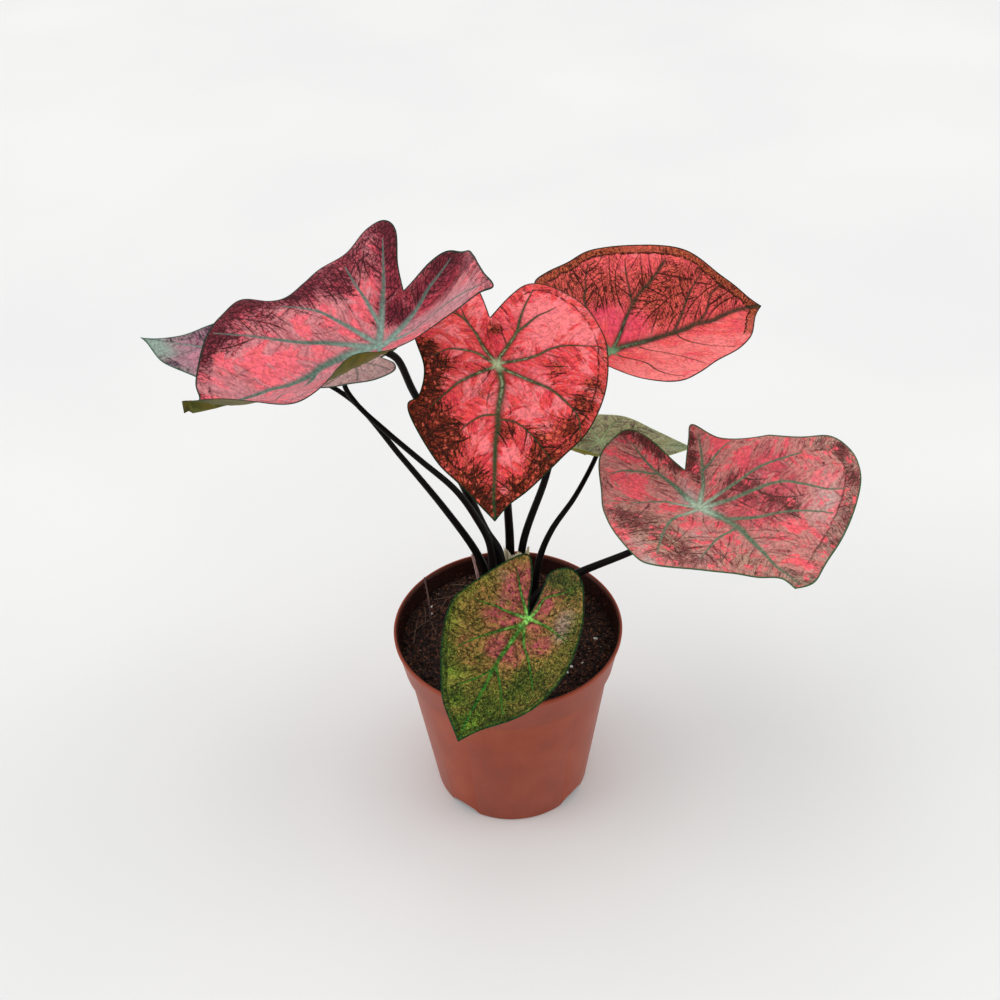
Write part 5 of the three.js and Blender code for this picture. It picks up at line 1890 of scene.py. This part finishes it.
        "middle_right",
        BladeForm((50.4, 38, 196.3), 352, 1, -8, 45.2, (-10, 0),
                  ((42, 3), (30, 12), (14, 24), (0, 26), (-12, 24), (-19, 18), (-21, 10), (-17, 3)),
                  ((43, 4), (31, 14), (16, 23), (0, 26), (-12, 25), (-20, 18), (-21, 10), (-17, 3)),
                  fold=0.1, curls=(Curl(-1, -10, 14, 7),)),
        StalkForm((13.5, 11.5), 2.5, 1.2,
                  ((17, 12.5, 138.5), (24, 14, 158.5), (36, 20, 174.5), (45.5, 31, 186))),
        GREY_GREEN, GOLDEN_BACK, "leaf_grey_green",
        washes={Wash.LIGHT: ((38, 0, 8, 1),), Wash.GREEN: ((42, 0, 9, 0.9), (26, 14, 6, 0.5))},
        seed=19),
    Leaf(
        "front",
        BladeForm((10.3, -38, 145.9), -123, 30, 3, 70, (-2, -1),
                  ((61, 7), (48, 23), (36, 31), (18, 35), (-2, 32), (-15, 27), (-24, 22), (-28, 15),
                   (-27.5, 8), (-24.5, 2.2), (-21, 0.9), (-14, 0.4), (-7, -0.2)),
                  ((56, 16), (44, 24), (26, 33), (7, 37), (-9, 30), (-22, 20), (-28, 11), (-18, 6), (-9, 4)),
                  fold=0.28, tip_bend=2, back_bend=10, cup=1.4, twist=-0.6),
        StalkForm((2.5, 3), 2.6, 1.4, ((3, 2, 108), (6, -7, 125))),
        BRONZE, OLIVE_BACK, "leaf_green",
        (Vein(((0, 0), (7, -2), (16, -3), (23, -4), (30, -4), (46, -3), (60, -2), (69, 0)), 0.8),
         Vein(((0, 0), (-4, -4), (-10, -9), (-15, -12), (-20, -15))),
         Vein(((0, -1), (1, -12), (1, -18), (2, -24), (2, -28)), 0.5),
         Vein(((4, -2), (10, -9), (14, -13), (19, -18), (27, -24)), 0.5),
         Vein(((0, 0), (1, 11), (3, 18), (6, 27)), 0.5),
         Vein(((4, -1), (13, 4), (19, 10), (27, 17), (36, 24)), 0.5),
         Vein(((0, 0), (-5, 2), (-12, 4), (-17, 14), (-20, 18)), 0.55),
         Vein(((28, -4), (36, 3), (44, 9), (50, 14)), 0.35), Vein(((30, -4), (38, -9), (46, -16)), 0.35)),
        washes={
            # The patches at u -20 to -22 darken the lobe on the blade's left by the notch, where it lies in
            # shadow: painted shade. The rest are dark netting.
            Wash.SHADE: (
                (60, -5, 4.7, 0.42), (30, -24, 4.7, 0.21), (38, 23, 7.8, 0.21), (9, 31, 6.2, 0.28),
                (-22, 9, 6.2, 0.7), (-22, 1, 4.7, 0.7), (-20, 19, 4.7, 0.42), (47, -2, 7.8, 0.35),
                (52, 14, 6.2, 0.35), (48, -15, 4.7, 0.35), (40, 10, 9, 0.28), (26, 24, 8, 0.21),
                (0, 26, 7, 0.3), (30, 14, 8, 0.3), (56, 8, 7, 0.3)),
            Wash.PAINTED_SHEEN: (
                (-5, 18, 5, 0.38), (0, 22, 6, 0.45), (5, 23, 4, 0.3), (1, -4, 2.4, 0.38), (-4, -16, 4, 0.3),
                (2, 20, 7, 0.25), (-8, 22, 5, 0.3), (-14, -20, 4, 0.4)),
            Wash.GREEN: (
                (7, -36, 6.2, 0.4), (63, -3, 6.2, 0.9), (52, -12, 4.7, 0.8), (59, 3, 6.2, 0.6),
                (31, -27, 4.7, 0.4), (35, 15, 7.8, 0.4), (-6, 26, 4.7, 0.4), (-3, -17, 4.7, 0.2),
                (-1, -32, 4.7, 0.4), (46, 4, 11, 0.5), (20, 26, 8, 0.35), (40, -14, 7, 0.4),
                (18, -33, 6, 0.6), (40, -22, 6, 0.6), (-12, -28, 5, 0.4), (66, -2, 5, 0.8),
                (30, -33, 5, 0.6), (50, -22, 5, 0.6)),
            Wash.FLUSH: (
                (-4, -11, 7.5, 1), (-10, -10, 6.3, 0.9), (4, -11, 6.3, 1), (8, -14, 5.2, 0.6),
                (6, -21, 3.4, 0.5), (18, -7, 6.3, 0.9), (21, -2, 5.8, 0.7), (22, -10, 3.4, 0.5),
                (2, 5, 5.8, 0.8), (11, 13, 5.8, 0.8), (-12, 6, 5.8, 0.8), (-6, 4, 5.8, 0.9),
                (-19, -7, 8, 0.7), (16, 5, 5.2, 0.7), (24, 5, 2.8, 0.5), (23, -23, 4.1, 0.4),
                (30, 4, 2.8, 0.3), (-22, -2, 6, 0.6), (-14, -14, 6, 0.6), (10, 16, 5, 0.5), (-24, 2, 5, 0.6),
                (-17, 12, 4, 0.4))},
        seed=23, vein_scale=1.6))


def main() -> None:
    """Build the studio, the pot, the soil, the crown and each leaf."""
    Studio().build()
    # The inner face's finish is near black: painted shade in the pot's hollow, with peat stain.
    Pot().build(MouldedPot().material(), MouldedPot("Polypropylene, moulded, painted shade and peat stain inside",
                                                    gloss=0.2, shade_and_stain_strength=0.97).material())
    PottingMix().build()
    Crown().build()
    dark_skin = StalkSkin().material()
    for leaf in LEAVES:
        leaf.blade()
        leaf.petiole(dark_skin)
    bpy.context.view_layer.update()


if __name__ == "__main__":
    main()
